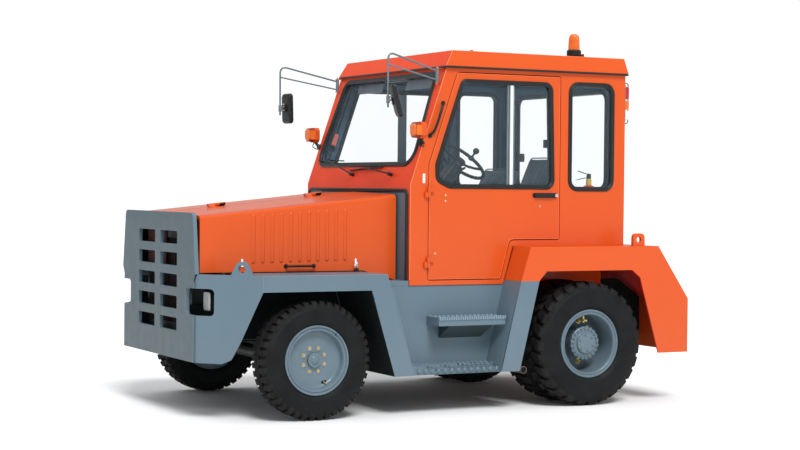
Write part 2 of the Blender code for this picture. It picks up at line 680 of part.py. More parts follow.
for side, sign in SIDES:
    through = (sign * (CAB_Y - CAB_WALL - 0.02), sign * (CAB_Y + 0.02))
    cut(cab, prism(f"door_opening_{side}", inset(door_outline, -PANEL_GAP), "y", *through, ORANGE))
    cut(cab, prism(f"side_window_{side}", side_window, "y", *through, ORANGE))
    glass_y = (sign * (CAB_Y - 0.010 - GLASS), sign * (CAB_Y - 0.010))
    prism(f"side_glass_{side}", inset(side_window, SEAT), "y", *glass_y, CLEAR)
    for number, height in enumerate(HINGE_HEIGHTS):
        low, high = height - HINGE_LENGTH, height - RUNNING
        axis = (HINGE_X, sign * HINGE_Y)
        join(
            cab,
            rod(f"cab_knuckle_{side}_{number}", (*axis, low), (*axis, high), HINGE_RADIUS, ORANGE, 12),
        )
        ends = sorted((sign * (CAB_Y - 0.004), sign * (HINGE_Y + 0.004)))
        join(
            cab,
            block(
                f"cab_leaf_{side}_{number}",
                (HINGE_X, ends[0], low),
                (HINGE_X + 0.03, ends[1], high),
                ORANGE,
            ),
        )

# Windscreen, in the leaning part of the cab's front

WINDSCREEN_LOW_Z, WINDSCREEN_TOP_Z = 1.60, 2.20
windscreen = rounded(
    [
        (-0.715, WINDSCREEN_LOW_Z),
        (0.715, WINDSCREEN_LOW_Z),
        (0.66, WINDSCREEN_TOP_Z),
        (-0.66, WINDSCREEN_TOP_Z),
    ],
    [0.10, 0.10, 0.06, 0.06],
)


def leaning(outline, ahead):
    """The outline of (y, z) pairs laid on the leaning front, moved forward by a distance."""
    return [(CAB_FRONT_X - (z - FOLD_Z) * lean + ahead, y, z) for y, z in outline]


cut(cab, loft("windscreen_cut", [leaning(windscreen, -0.08), leaning(windscreen, 0.04)], ORANGE))
pane = inset(windscreen, SEAT)
loft("windscreen", [leaning(pane, -0.018), leaning(pane, -0.018 + GLASS)], CLEAR)

# Roof cap: front and sides lean in, hollow below

ROOF_LIP = 0.017
ROOF_DROP = 0.05
roof_low = rectangle((CAB_REAR_X - 0.015, -CAB_Y - ROOF_LIP), (LEAN_TOP_X + 0.012, CAB_Y + ROOF_LIP))
roof_high = rectangle((CAB_REAR_X + 0.008, -CAB_Y + 0.004), (LEAN_TOP_X - 0.045, CAB_Y - 0.004))
low_z = GUTTER_Z + SEAT
roof = loft(
    "cab_roof",
    [
        [(*p, low_z) for p in roof_low],
        [(*p, low_z + 0.012) for p in roof_low],
        [(*p, ROOF_Z) for p in roof_high],
    ],
    ORANGE,
)
ceiling = rectangle((CAB_REAR_X + CAB_WALL, -cab_inner_y), (LEAN_TOP_X - 0.05, cab_inner_y))
cut(roof, prism("ceiling", ceiling, "z", low_z - 0.02, ROOF_Z - ROOF_DROP, ORANGE))

# Doors with their glass, hung at the front edge

DOOR_THICK = CAB_WALL
for side, sign in SIDES:
    door = prism(f"door_{side}", door_outline, "y", sign * (CAB_Y - DOOR_THICK), sign * CAB_Y, ORANGE)
    through = (sign * (CAB_Y - DOOR_THICK - 0.02), sign * (CAB_Y + 0.02))
    cut(door, prism(f"door_window_{side}", door_window, "y", *through, ORANGE))
    for number, height in enumerate(HINGE_HEIGHTS):
        axis = (HINGE_X, sign * HINGE_Y)
        top = height + HINGE_LENGTH
        join(
            door,
            rod(
                f"door_knuckle_{side}_{number}", (*axis, height), (*axis, top), HINGE_RADIUS, ORANGE, 12
            ),
        )
        ends = sorted((sign * (CAB_Y - 0.004), sign * (HINGE_Y + 0.004)))
        leaf = block(
            f"door_leaf_{side}_{number}",
            (HINGE_X - 0.04, ends[0], height),
            (HINGE_X - 0.006, ends[1], top),
            ORANGE,
        )
        join(door, leaf)
    glass_y = (sign * (CAB_Y - 0.010 - GLASS), sign * (CAB_Y - 0.010))
    pane = prism(f"door_glass_{side}", inset(door_window, SEAT), "y", *glass_y, CLEAR)
    hang([door, pane], f"door_hinge_{side}", (HINGE_X, sign * HINGE_Y, HINGE_HEIGHTS[0]))

# Hood: two halves hinged on a ridge bar

HOOD_Y = 0.62
HOOD_FRONT_Z = 1.262
HOOD_REAR_Z = 1.404
HOOD_CROWN = 0.012
HOOD_LOW_Z = FENDER_Z + PANEL_GAP
HOOD_FRONT_X = NOSE_BACK_X - 0.020
HOOD_REAR_X = CAB_FRONT_X + 0.022
HOOD_SLOT = 0.006
KNUCKLE_RISE = 0.014
KNUCKLE_RADIUS = 0.010
KNUCKLE_LENGTH = 0.042
LUG_PLACES = (FRONT_AXLE_X + 0.295, FRONT_AXLE_X - 0.405)
BAR_DROP = 0.045
hood_slope = (HOOD_FRONT_Z - HOOD_REAR_Z) / (HOOD_FRONT_X - HOOD_REAR_X)


def hood_edge_z(x):
    return HOOD_REAR_Z + hood_slope * (x - HOOD_REAR_X)


def ridge_z(x):
    return hood_edge_z(x) + HOOD_CROWN


def hood_section(x, low_z, sign):
    edge, ridge = hood_edge_z(x), ridge_z(x)
    corner = 0.03
    pairs = [
        (HOOD_SLOT, ridge),
        (HOOD_Y - corner, edge + 0.001),
        (HOOD_Y - corner * 0.3, edge - corner * 0.3),
        (HOOD_Y, edge - corner),
        (HOOD_Y, low_z),
        (HOOD_Y - HOOD_SHEET, low_z),
        (HOOD_Y - HOOD_SHEET, edge - corner - 0.004),
        (HOOD_Y - corner - 0.004, edge - HOOD_SHEET),
        (HOOD_SLOT, ridge - HOOD_SHEET),
    ]
    return [(x, sign * y, z) for y, z in pairs]


def on_ridge(x, rise=KNUCKLE_RISE):
    return (x, 0, ridge_z(x) + rise)


bar_back_x = CAB_FRONT_X + SEAT
bar_front_x = NOSE_BACK_X - SEAT
bar_sections = []
for x in (bar_back_x, bar_front_x):
    top = ridge_z(x) - HOOD_SHEET - 0.008
    bar_sections.append([(x, y, z) for y, z in rectangle((-0.03, top - BAR_DROP), (0.03, top))])
bar = loft("hood_ridge_bar", bar_sections, GREY)
for number, x in enumerate(LUG_PLACES):
    half = KNUCKLE_LENGTH / 2
    join(
        bar,
        rod(
            f"bar_knuckle_{number}", on_ridge(x - half), on_ridge(x + half), KNUCKLE_RADIUS, ORANGE, 12
        ),
    )
    post = [
        (x - half + 0.002, ridge_z(x) - 0.04),
        (x + half - 0.002, ridge_z(x) - 0.04),
        (x + half - 0.002, ridge_z(x) + KNUCKLE_RISE - 0.003),
        (x - half + 0.002, ridge_z(x) + KNUCKLE_RISE - 0.003),
    ]
    join(bar, prism(f"bar_post_{number}", post, "y", -0.0035, 0.0035, GREY))
bend_x = STRUT_TOP_X - 0.01
for side, sign in SIDES:
    sections = [
        hood_section(HOOD_FRONT_X, HOOD_LOW_Z, sign),
        hood_section(bend_x, HOOD_LOW_Z, sign),
        hood_section(HOOD_REAR_X, HOOD_LOW_Z - 0.064, sign),
    ]
    hood = loft(f"hood_{side}", sections, ORANGE)
    for number, x in enumerate(LUG_PLACES):
        near = x + sign * (KNUCKLE_LENGTH / 2 + RUNNING)
        far = near + sign * KNUCKLE_LENGTH
        join(
            hood,
            rod(
                f"hood_knuckle_{side}_{number}",
                on_ridge(near),
                on_ridge(far),
                KNUCKLE_RADIUS,
                ORANGE,
                12,
            ),
        )
        low_x, high_x = sorted((near, far))
        leaf_sections = []
        for x_end in (low_x + 0.0025, high_x - 0.0025):
            low = ridge_z(x_end) - 0.004
            pairs = [
                (0.0, low + 0.013),
                (0.0, low + 0.026),
                (0.045, low + 0.016),
                (0.06, low),
                (HOOD_SLOT + 0.001, low),
            ]
            leaf_sections.append([(x_end, sign * y, z) for y, z in pairs])
        join(hood, loft(f"hood_leaf_{side}_{number}", leaf_sections, ORANGE))
    hang([hood], f"hood_hinge_{side}", on_ridge(LUG_PLACES[0]))

# Inside the cab: dashboard with the column, steering wheel, two seats, fire extinguisher

DASH_DEPTH = 0.24
WHEEL_TILT = radians(38)
DRIVER_Y = 0.36
COLUMN_LENGTH = 0.808
WHEEL_RADIUS = 0.19
room_front_x = CAB_FRONT_X - CAB_WALL
floor_top = FLOOR_Z + CAB_WALL
deck_top = DECK_Z + SEAT + CAB_WALL
dash_outline = [
    (room_front_x - SEAT, floor_top + SEAT),
    (room_front_x - SEAT, 1.44),
    (room_front_x - DASH_DEPTH, 1.40),
    (room_front_x - DASH_DEPTH - 0.02, 1.30),
    (room_front_x - 0.08, 1.10),
    (room_front_x - 0.08, floor_top + SEAT),
]
dash_y = cab_inner_y - 0.04
dash = prism("dashboard", dash_outline, "y", -dash_y, dash_y, TRIM)
column_axis = Vector((-sin(WHEEL_TILT), 0, cos(WHEEL_TILT)))
column_start = Vector((room_front_x - 0.058, DRIVER_Y, 0.977))
column_end = column_start + column_axis * COLUMN_LENGTH
wheel_centre = column_end + column_axis * (RUNNING + 0.025)
join(dash, rod("steering_column", column_start, column_end, 0.032, TRIM, 16))


def steering_wheel():
    """Rim, three spokes and hub, made about Z and then tilted onto the column."""
    angles = [k * pi / 4 for k in range(8)]
    rim_profile = [(WHEEL_RADIUS + 0.014 * cos(a), 0.014 * sin(a)) for a in angles]
    rim = turned("steering_wheel", rim_profile, (0, 0, 0), TRIM, 32)
    hub = rod("wheel_hub", (0, -0.025, 0), (0, 0.018, 0), 0.040, TRIM, 16)
    spokes = []
    for number, angle in enumerate((0, 2 * pi / 3, 4 * pi / 3)):
        tip = (WHEEL_RADIUS * cos(angle), 0, WHEEL_RADIUS * sin(angle))
        spokes.append(rod(f"wheel_spoke_{number}", (0, 0, 0), tip, 0.011, TRIM, 8))
    turn = column_axis.to_track_quat("Y", "X").to_matrix().to_4x4()
    for piece in (rim, hub, *spokes):
        piece.data.transform(Matrix.Translation(wheel_centre) @ turn)
    join(rim, hub, *spokes)
    return rim


hang([steering_wheel()], "steering_axis", wheel_centre)

SEAT_WIDTH = 0.48
PASSENGER_BACK = 0.06  # how much further back the passenger's seat stands
PASSENGER_DROP = 0.075  # how much lower its top is


def seat_outline(back, drop):
    """A seat from the side: its foot on the deck, the cushion, and the leaning back."""
    front = STEP_BACK_X - back
    outline = [
        (front - 0.46, deck_top + SEAT),
        (front - 0.02, deck_top + SEAT),
        (front + 0.06, 1.22),
        (front + 0.06, 1.31 - drop / 2),
        (front - 0.35, 1.28 - drop / 2),
        (front - 0.51, 1.65 - drop),
        (front - 0.58, 1.67 - drop),
        (front - 0.61, 1.63 - drop),
        (front - 0.48, 1.24),
    ]
    return rounded(outline, [0, 0, 0.02, 0.04, 0.03, 0.03, 0.02, 0.02, 0], 3)


for name, centre_y, back, drop in (
    ("driver_seat", DRIVER_Y, 0, 0),
    ("passenger_seat", -DRIVER_Y, PASSENGER_BACK, PASSENGER_DROP),
):
    ends = (centre_y - SEAT_WIDTH / 2, centre_y + SEAT_WIDTH / 2)
    prism(name, seat_outline(back, drop), "y", ends[0], ends[1], CLOTH)

BOTTLE_X, BOTTLE_Y, BOTTLE_RADIUS = CAB_REAR_X + CAB_WALL + 0.140, CAB_Y - 0.172, 0.06
bottle = rod(
    "fire_extinguisher",
    (BOTTLE_X, BOTTLE_Y, deck_top + SEAT),
    (BOTTLE_X, BOTTLE_Y, deck_top + 0.37),
    BOTTLE_RADIUS,
    RED,
)
join(
    bottle,
    rod(
        "extinguisher_neck",
        (BOTTLE_X, BOTTLE_Y, deck_top + 0.35),
        (BOTTLE_X, BOTTLE_Y, deck_top + 0.455),
        0.018,
        RED,
        12,
    ),
)

# Wheels


def tyre_profile(radius, half_width, tread_half, seat, bead_half, flange):
    side = [
        (seat, bead_half),
        (flange + 0.002, bead_half),
        (flange + 0.020, bead_half + 0.016),
        ((flange + radius) / 2, half_width),
        (radius - 0.018, tread_half + 0.010),
        (radius, tread_half - 0.010),
    ]
    return side + [(r, -y) for r, y in reversed(side)]


RIM_WALL = 0.010
FLANGE_THICK = 0.009
FRONT_TYRE_RADIUS = 0.3735
FRONT_TYRE_HALF = 0.098
FRONT_TREAD_HALF = 0.078
FRONT_SEAT_RADIUS = 0.192
FRONT_FLANGE = 0.218
FRONT_BEAD_HALF = 0.079
REAR_TYRE_RADIUS = 0.415
REAR_TYRE_HALF = 0.108
REAR_TREAD_HALF = 0.086
REAR_SEAT_RADIUS = 0.203
REAR_FLANGE = 0.229
REAR_BEAD_HALF = 0.083
FRONT_WHEEL_Y = 0.856
TWIN_SPACING = 0.277
REAR_OUTER_Y = 0.878
DISC = 0.012
DISC_Y = 0.035
SPINDLE = 0.045
REAR_SPINDLE = 0.050

front_edge = FRONT_BEAD_HALF + FLANGE_THICK
inside = FRONT_SEAT_RADIUS - SEAT
front_rim = [
    (FRONT_FLANGE, front_edge),
    (FRONT_FLANGE, FRONT_BEAD_HALF + SEAT),
    (inside, FRONT_BEAD_HALF + SEAT),
    (inside, -FRONT_BEAD_HALF - SEAT),
    (FRONT_FLANGE, -FRONT_BEAD_HALF - SEAT),
    (FRONT_FLANGE, -front_edge),
    (inside - RIM_WALL, -front_edge),
    (inside - RIM_WALL, DISC_Y - DISC),
    (0.07, DISC_Y - DISC),
    (0.07, DISC_Y - 0.06),
    (SPINDLE + RUNNING, DISC_Y - 0.06),
    (SPINDLE + RUNNING, DISC_Y + 0.020),
    (0, DISC_Y + 0.020),
    (0, DISC_Y + 0.030),
    (0.040, DISC_Y + 0.024),
    (0.055, DISC_Y + 0.006),
    (0.070, DISC_Y),
    (inside - RIM_WALL - 0.02, DISC_Y),
    (inside - RIM_WALL, DISC_Y + 0.01),
    (inside - RIM_WALL, front_edge),
]
rear_edge = REAR_BEAD_HALF + FLANGE_THICK
rear_inside = REAR_SEAT_RADIUS - SEAT
half_gap = TWIN_SPACING / 2
rear_rim = []
for centre in (half_gap, -half_gap):
    rear_rim += [
        (REAR_FLANGE, centre + rear_edge),
        (REAR_FLANGE, centre + REAR_BEAD_HALF + SEAT),
        (rear_inside, centre + REAR_BEAD_HALF + SEAT),
        (rear_inside, centre - REAR_BEAD_HALF - SEAT),
        (REAR_FLANGE, centre - REAR_BEAD_HALF - SEAT),
        (REAR_FLANGE, centre - rear_edge),
    ]
barrel = rear_inside - RIM_WALL
hub_end = half_gap + rear_edge - 0.043
rear_rim += [
    (barrel, -half_gap - rear_edge),
    (barrel, -DISC / 2),
    (0.105, -DISC / 2),
    (0.105, -0.05),
    (REAR_SPINDLE + RUNNING, -0.05),
    (REAR_SPINDLE + RUNNING, 0.05),
    (0, 0.05),
    (0, hub_end),
    (0.070, hub_end),
    (0.072, hub_end - 0.016),
    (0.110, hub_end - 0.018),
    (0.110, hub_end - 0.042),
    (0.094, hub_end - 0.046),
    (0.096, DISC / 2),
    (barrel, DISC / 2),
    (barrel, half_gap + rear_edge),
]
front_tyre = tyre_profile(
    FRONT_TYRE_RADIUS,
    FRONT_TYRE_HALF,
    FRONT_TREAD_HALF,
    FRONT_SEAT_RADIUS,
    FRONT_BEAD_HALF,
    FRONT_FLANGE,
)
rear_tyre = tyre_profile(
    REAR_TYRE_RADIUS, REAR_TYRE_HALF, REAR_TREAD_HALF, REAR_SEAT_RADIUS, REAR_BEAD_HALF, REAR_FLANGE
)
dual_y = REAR_OUTER_Y - half_gap
for side, sign in SIDES:
    centre = (FRONT_AXLE_X, sign * FRONT_WHEEL_Y, FRONT_TYRE_RADIUS)
    tyre = turned(f"front_tyre_{side}", front_tyre, centre, RUBBER)
    rim = turned(f"front_rim_{side}", [(r, sign * y) for r, y in front_rim], centre, GREY)
    hang([tyre, rim], f"front_hub_{side}", centre)
    centre = (REAR_AXLE_X, sign * dual_y, REAR_TYRE_RADIUS)
    rim = turned(f"rear_rim_{side}", [(r, sign * y) for r, y in rear_rim], centre, GREY)
    tyres = []
    for place, offset in (("outer", half_gap), ("inner", -half_gap)):
        profile = [(r, y + sign * offset) for r, y in rear_tyre]
        tyres.append(turned(f"rear_tyre_{place}_{side}", profile, centre, RUBBER))
    hang([rim, *tyres], f"rear_hub_{side}", centre)

# Axles and knuckles

KINGPIN_Y = 0.70
KINGPIN_RADIUS = 0.032
BEAM_HALF = 0.04
BEAM_LOW = FRONT_TYRE_RADIUS - 0.055
BOSS_LOW, BOSS_HIGH = FRONT_TYRE_RADIUS - 0.075, FRONT_TYRE_RADIUS + 0.073
EAR = 0.025
beam_low = (FRONT_AXLE_X - BEAM_HALF, -KINGPIN_Y, BEAM_LOW)
front_axle = block("front_axle", beam_low, (FRONT_AXLE_X + BEAM_HALF, KINGPIN_Y, AXLE_BEAM_TOP), DARK)
cylinder_x = FRONT_AXLE_X + 0.075
join(
    front_axle,
    rod("steering_cylinder", (cylinder_x, -0.30, 0.36), (cylinder_x, 0.30, 0.36), 0.038, DARK),
)
for side, sign in SIDES:
    kingpin = (FRONT_AXLE_X, sign * KINGPIN_Y)
    join(
        front_axle,
        rod(f"kingpin_{side}", (*kingpin, BOSS_LOW), (*kingpin, BOSS_HIGH), KINGPIN_RADIUS, DARK),
    )
    web_y = sorted(
        (sign * (KINGPIN_Y + KINGPIN_RADIUS + 0.010), sign * (KINGPIN_Y + KINGPIN_RADIUS + 0.035))
    )
    low = (FRONT_AXLE_X - 0.045, web_y[0], BOSS_LOW - RUNNING - EAR)
    high = (FRONT_AXLE_X + 0.045, web_y[1], BOSS_HIGH + RUNNING + EAR)
    knuckle = block(f"knuckle_{side}", low, high, DARK)
    for place, z in (("low", BOSS_LOW - RUNNING - EAR), ("high", BOSS_HIGH + RUNNING)):
        join(knuckle, rod(f"ear_{place}_{side}", (*kingpin, z), (*kingpin, z + EAR), 0.036, DARK))
        bridge_y = sorted((sign * KINGPIN_Y, sign * (KINGPIN_Y + KINGPIN_RADIUS + 0.02)))
        bridge_low = (FRONT_AXLE_X - 0.030, bridge_y[0], z + 0.001)
        bridge = block(
            f"bridge_{place}_{side}",
            bridge_low,
            (FRONT_AXLE_X + 0.030, bridge_y[1], z + EAR - 0.001),
            DARK,
        )
        join(knuckle, bridge)
    spindle_start = (FRONT_AXLE_X, sign * (KINGPIN_Y + KINGPIN_RADIUS + 0.02), FRONT_TYRE_RADIUS)
    spindle_end = (FRONT_AXLE_X, sign * (FRONT_WHEEL_Y + DISC_Y + 0.018), FRONT_TYRE_RADIUS)
    join(knuckle, rod(f"spindle_{side}", spindle_start, spindle_end, SPINDLE, DARK, 28))
    hang([knuckle], f"kingpin_axis_{side}", (*kingpin, FRONT_TYRE_RADIUS))

AXLE_TUBE = 0.065
SHAFT_RADIUS = 0.035
axle_z = REAR_TYRE_RADIUS
spindle_y = dual_y + 0.048
half_axle = [
    (0, spindle_y),
    (REAR_SPINDLE, spindle_y),
    (REAR_SPINDLE, dual_y - 0.07),
    (AXLE_TUBE, dual_y - 0.09),
    (AXLE_TUBE, 0.20),
    (0.13, 0.12),
    (0.17, 0.06),
]
axle_profile = half_axle + [(r, -y) for r, y in reversed(half_axle)]
rear_axle = turned("rear_axle", axle_profile, (REAR_AXLE_X, 0, axle_z), DARK)
shaft_rise = 0.60 - (axle_z + 0.03)
shaft_tilt = atan2(shaft_rise, WHEELBASE - 1.05 - 0.10)
shaft_gap = RUNNING + SHAFT_RADIUS * sin(shaft_tilt)
shaft_end = (FRONT_AXLE_X - 1.05 - shaft_gap, 0, 0.60)
shaft_start = (REAR_AXLE_X + 0.10, 0, axle_z + 0.03)
join(rear_axle, rod("drive_shaft", shaft_start, shaft_end, SHAFT_RADIUS, DARK, 12))
for side, sign in SIDES:
    seat_y = sorted((sign * (RAIL_Y - 0.05), sign * (RAIL_Y + 0.02)))
    low = (REAR_AXLE_X - 0.07, seat_y[0], axle_z)
    join(
        rear_axle, block(f"spring_seat_{side}", low, (REAR_AXLE_X + 0.07, seat_y[1], 0.58 - SEAT), DARK)
    )

# Tow coupling with its pin, on the rear plate

EARS = 4
EAR_PITCH = 0.075
EAR_THICK = 0.02
EAR_Y = 0.055
COUPLING_LOW = 0.40
PIN_RADIUS = 0.016
coupling_top = COUPLING_LOW + (EARS - 1) * EAR_PITCH + EAR_THICK
back_low = (REAR_X - SEAT - 0.02, -0.11, COUPLING_LOW - 0.025)
coupling = block("tow_coupling", back_low, (REAR_X - SEAT, 0.11, coupling_top + 0.025), DARK)
ear_plan = rounded(
    [(REAR_X - 0.01, -EAR_Y), (REAR_X - 0.01, EAR_Y), (-NOSE_X, EAR_Y), (-NOSE_X, -EAR_Y)],
    [0, 0, 0.045, 0.045],
)
PIN_X = -NOSE_X + 0.055
for number in range(EARS):
    z = COUPLING_LOW + number * EAR_PITCH
    join(coupling, prism(f"ear_{number}", ear_plan, "z", z, z + EAR_THICK, DARK))
bore = PIN_RADIUS + RUNNING
cut(
    coupling,
    rod("pin_bore", (PIN_X, 0, COUPLING_LOW - 0.05), (PIN_X, 0, coupling_top + 0.05), bore, DARK, 24),
)
pin = rod(
    "hitch_pin", (PIN_X, 0, COUPLING_LOW - 0.03), (PIN_X, 0, coupling_top + 0.05), PIN_RADIUS, STEEL, 24
)
join(
    pin,
    rod("pin_collar", (PIN_X, 0, coupling_top + SEAT), (PIN_X, 0, coupling_top + 0.012), 0.026, STEEL),
)
join(
    pin,
    rod(
        "pin_handle",
        (PIN_X, -0.05, coupling_top + 0.045),
        (PIN_X, 0.05, coupling_top + 0.045),
        0.008,
        STEEL,
        12,
    ),
)

# Exhaust: silencer under the step box and a tail pipe that ends ahead of the rear wheels

SILENCER_Y, SILENCER_Z, SILENCER_RADIUS = 0.575, 0.44, 0.085
TAIL_X, TAIL_Z, TAIL_RADIUS = REAR_AXLE_X + 0.475, 0.25, 0.024
silencer_x = (REAR_AXLE_X + 0.66, FRONT_AXLE_X - 0.76)
exhaust = rod(
    "exhaust",
    (silencer_x[0], SILENCER_Y, SILENCER_Z),
    (silencer_x[1], SILENCER_Y, SILENCER_Z),
    SILENCER_RADIUS,
    DARK,
)
bracket_x = sum(silencer_x) / 2
join(
    exhaust,
    block(
        "silencer_bracket",
        (bracket_x - 0.03, WALL_Y, SILENCER_Z),
        (bracket_x + 0.03, SILENCER_Y, SILENCER_Z + 0.02),
        DARK,
    ),
)
elbow = (TAIL_X, 0.64, TAIL_Z)
join(
    exhaust,
    rod(
        "pipe_down", (silencer_x[0] + 0.03, SILENCER_Y, SILENCER_Z - 0.02), elbow, TAIL_RADIUS, DARK, 16
    ),
)
join(exhaust, rod("tail_pipe", (TAIL_X, 0.63, TAIL_Z), (TAIL_X, 0.90, TAIL_Z), TAIL_RADIUS, DARK, 16))
cut(
    exhaust,
    rod("tail_bore", (TAIL_X, 0.70, TAIL_Z), (TAIL_X, 0.95, TAIL_Z), TAIL_RADIUS - 0.004, DARK, 16),
)

# Mirrors, lamps and beacon

MIRROR_X, MIRROR_Y = CAB_FRONT_X + 0.20, CAB_Y + 0.058
BRACKET_Z = 2.18
BRACKET_REACH = 0.032
for side, sign in SIDES:
    lean_x = CAB_FRONT_X - (BRACKET_Z - FOLD_Z) * lean
    foot = Vector((lean_x + BRACKET_REACH, sign * (CAB_Y - 0.037), BRACKET_Z))
    mirror = rod(
        f"mirror_{side}", foot - Vector((0, 0, 0.045)), foot + Vector((0, 0, 0.045)), 0.010, TRIM, 12
    )
    pad_y = sorted((foot.y - 0.012, foot.y + 0.012))
    pad_outline = [
        (lean_x - 0.02 * lean + SEAT * 2, BRACKET_Z + 0.02),
        (lean_x + 0.02 * lean + SEAT * 2, BRACKET_Z - 0.02),
        (lean_x + BRACKET_REACH, BRACKET_Z - 0.02),
        (lean_x + BRACKET_REACH, BRACKET_Z + 0.02),
    ]
    join(mirror, prism(f"mirror_pad_{side}", pad_outline, "y", pad_y[0], pad_y[1], TRIM))
    top = Vector((MIRROR_X, sign * MIRROR_Y, 2.295))
    lower = Vector((MIRROR_X, sign * MIRROR_Y, 2.235))
    foot_high, foot_low = foot + Vector((0, 0, 0.03)), foot - Vector((0, 0, 0.03))
    join(mirror, rod(f"upper_arm_{side}", foot_high, top, 0.006, TRIM, 8))
    join(mirror, rod(f"lower_arm_{side}", foot_low, lower, 0.006, TRIM, 8))
    join(
        mirror,
        rod(
            f"mirror_tube_{side}",
            top + Vector((0, 0, 0.006)),
            (MIRROR_X, sign * MIRROR_Y, 1.92),
            0.007,
            TRIM,
            8,
        ),
    )
    head = rounded(
        rectangle((sign * MIRROR_Y - 0.065, 1.895), (sign * MIRROR_Y + 0.065, 2.12)), 0.025, 2
    )
    join(mirror, prism(f"mirror_head_{side}", head, "x", MIRROR_X - 0.04, MIRROR_X - 0.005, TRIM))

TURN_X, TURN_Z = CAB_FRONT_X - 0.040, 1.82
for side, sign in SIDES:
    lean_x = CAB_FRONT_X - (TURN_Z - FOLD_Z) * lean
    y = sign * (CAB_Y + 0.023)
    body = prism(
        f"turn_lamp_{side}",
        rounded(rectangle((y - 0.048, TURN_Z - 0.055), (y + 0.048, TURN_Z + 0.055)), 0.015, 2),
        "x",
        TURN_X - 0.045,
        TURN_X + 0.045,
        AMBER,
    )
    stalk_y = sign * (CAB_Y + SEAT - 0.022)
    stalk = [
        (lean_x + 0.010 * lean + SEAT * 2, TURN_Z - 0.01),
        (lean_x - 0.010 * lean + SEAT * 2, TURN_Z + 0.01),
        (TURN_X, TURN_Z + 0.01),
        (TURN_X, TURN_Z - 0.01),
    ]
    ends = sorted((stalk_y, stalk_y - sign * 0.012))
    join(body, prism(f"turn_stalk_{side}", stalk, "y", ends[0], ends[1], AMBER))

for side, sign in SIDES:
    ends = sorted((sign * (CAB_Y - 0.072), sign * (CAB_Y - 0.007)))
    low = (CAB_REAR_X - 0.055, ends[0], 1.907)
    block(f"rear_lamp_{side}", low, (CAB_REAR_X - SEAT, ends[1], 2.182), RED)

BEACON_X, BEACON_Y = CAB_REAR_X + 0.11, 0.30
beacon = rod(
    "beacon", (BEACON_X, BEACON_Y, ROOF_Z + SEAT), (BEACON_X, BEACON_Y, ROOF_Z + 0.04), 0.030, AMBER, 20
)
join(
    beacon,
    rod(
        "beacon_base",
        (BEACON_X, BEACON_Y, ROOF_Z + 0.035),
        (BEACON_X, BEACON_Y, ROOF_Z + 0.085),
        0.052,
        AMBER,
        20,
    ),
)
join(
    beacon,
    rod(
        "beacon_lens",
        (BEACON_X, BEACON_Y, ROOF_Z + 0.08),
        (BEACON_X, BEACON_Y, ROOF_Z + 0.20),
        0.042,
        AMBER,
        20,
    ),
)
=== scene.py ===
"""The looks of an airport baggage tug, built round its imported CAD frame: +X forward, +Y left, +Z up, in metres."""

import math
from math import cos, pi, radians, sin, tan

import bmesh
import bpy
from mathutils import Matrix, Vector


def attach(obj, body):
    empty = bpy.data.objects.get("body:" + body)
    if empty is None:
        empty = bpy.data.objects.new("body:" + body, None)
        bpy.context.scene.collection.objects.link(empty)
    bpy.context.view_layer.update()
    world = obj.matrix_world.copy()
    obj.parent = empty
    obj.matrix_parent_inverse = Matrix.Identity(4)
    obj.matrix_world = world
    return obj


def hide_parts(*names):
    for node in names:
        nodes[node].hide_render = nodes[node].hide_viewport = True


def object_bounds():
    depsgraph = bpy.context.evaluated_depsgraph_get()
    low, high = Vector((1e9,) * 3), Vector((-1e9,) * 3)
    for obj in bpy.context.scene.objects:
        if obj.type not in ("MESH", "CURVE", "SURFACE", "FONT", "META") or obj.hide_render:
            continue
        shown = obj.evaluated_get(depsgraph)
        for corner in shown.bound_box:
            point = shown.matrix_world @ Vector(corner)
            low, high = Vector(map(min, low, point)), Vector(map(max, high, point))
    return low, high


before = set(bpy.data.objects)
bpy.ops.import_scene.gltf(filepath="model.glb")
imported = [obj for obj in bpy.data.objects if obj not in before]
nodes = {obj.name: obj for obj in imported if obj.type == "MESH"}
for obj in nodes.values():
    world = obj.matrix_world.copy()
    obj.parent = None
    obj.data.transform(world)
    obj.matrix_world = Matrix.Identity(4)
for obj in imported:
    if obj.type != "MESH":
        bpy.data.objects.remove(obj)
CAD_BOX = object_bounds()
SIDES = (("left", 1), ("right", -1))


def vec(*parts):
    return Vector(parts)


# Places taken from the CAD model
FRONT_AXLE_X, REAR_AXLE_X = 1.13, -0.88
FRONT_WHEEL_Y, FRONT_Z = 0.856, 0.3735
DUAL_Y, REAR_Z, TWIN_HALF = 0.7395, 0.415, 0.1385
CAB_Y, CAB_FRONT_X, CAB_REAR_X = 0.772, 0.394, -1.285
FOLD_Z, LEAN = 1.469, 0.262 / 0.766
BODY_Y, NOSE_X, HOOD_Y = 0.985, 1.83, 0.62
DOOR_FRONT_X, DOOR_REAR_X = 0.255, -0.752
LEAN_NORMAL = vec(1, 0, LEAN).normalized()
CAB_WALL = 0.036


# Materials


def sockets(node, values):
    """Sets a shader node's unlinked sockets."""
    for name, value in values.items():
        node.inputs[name].default_value = value
    return node


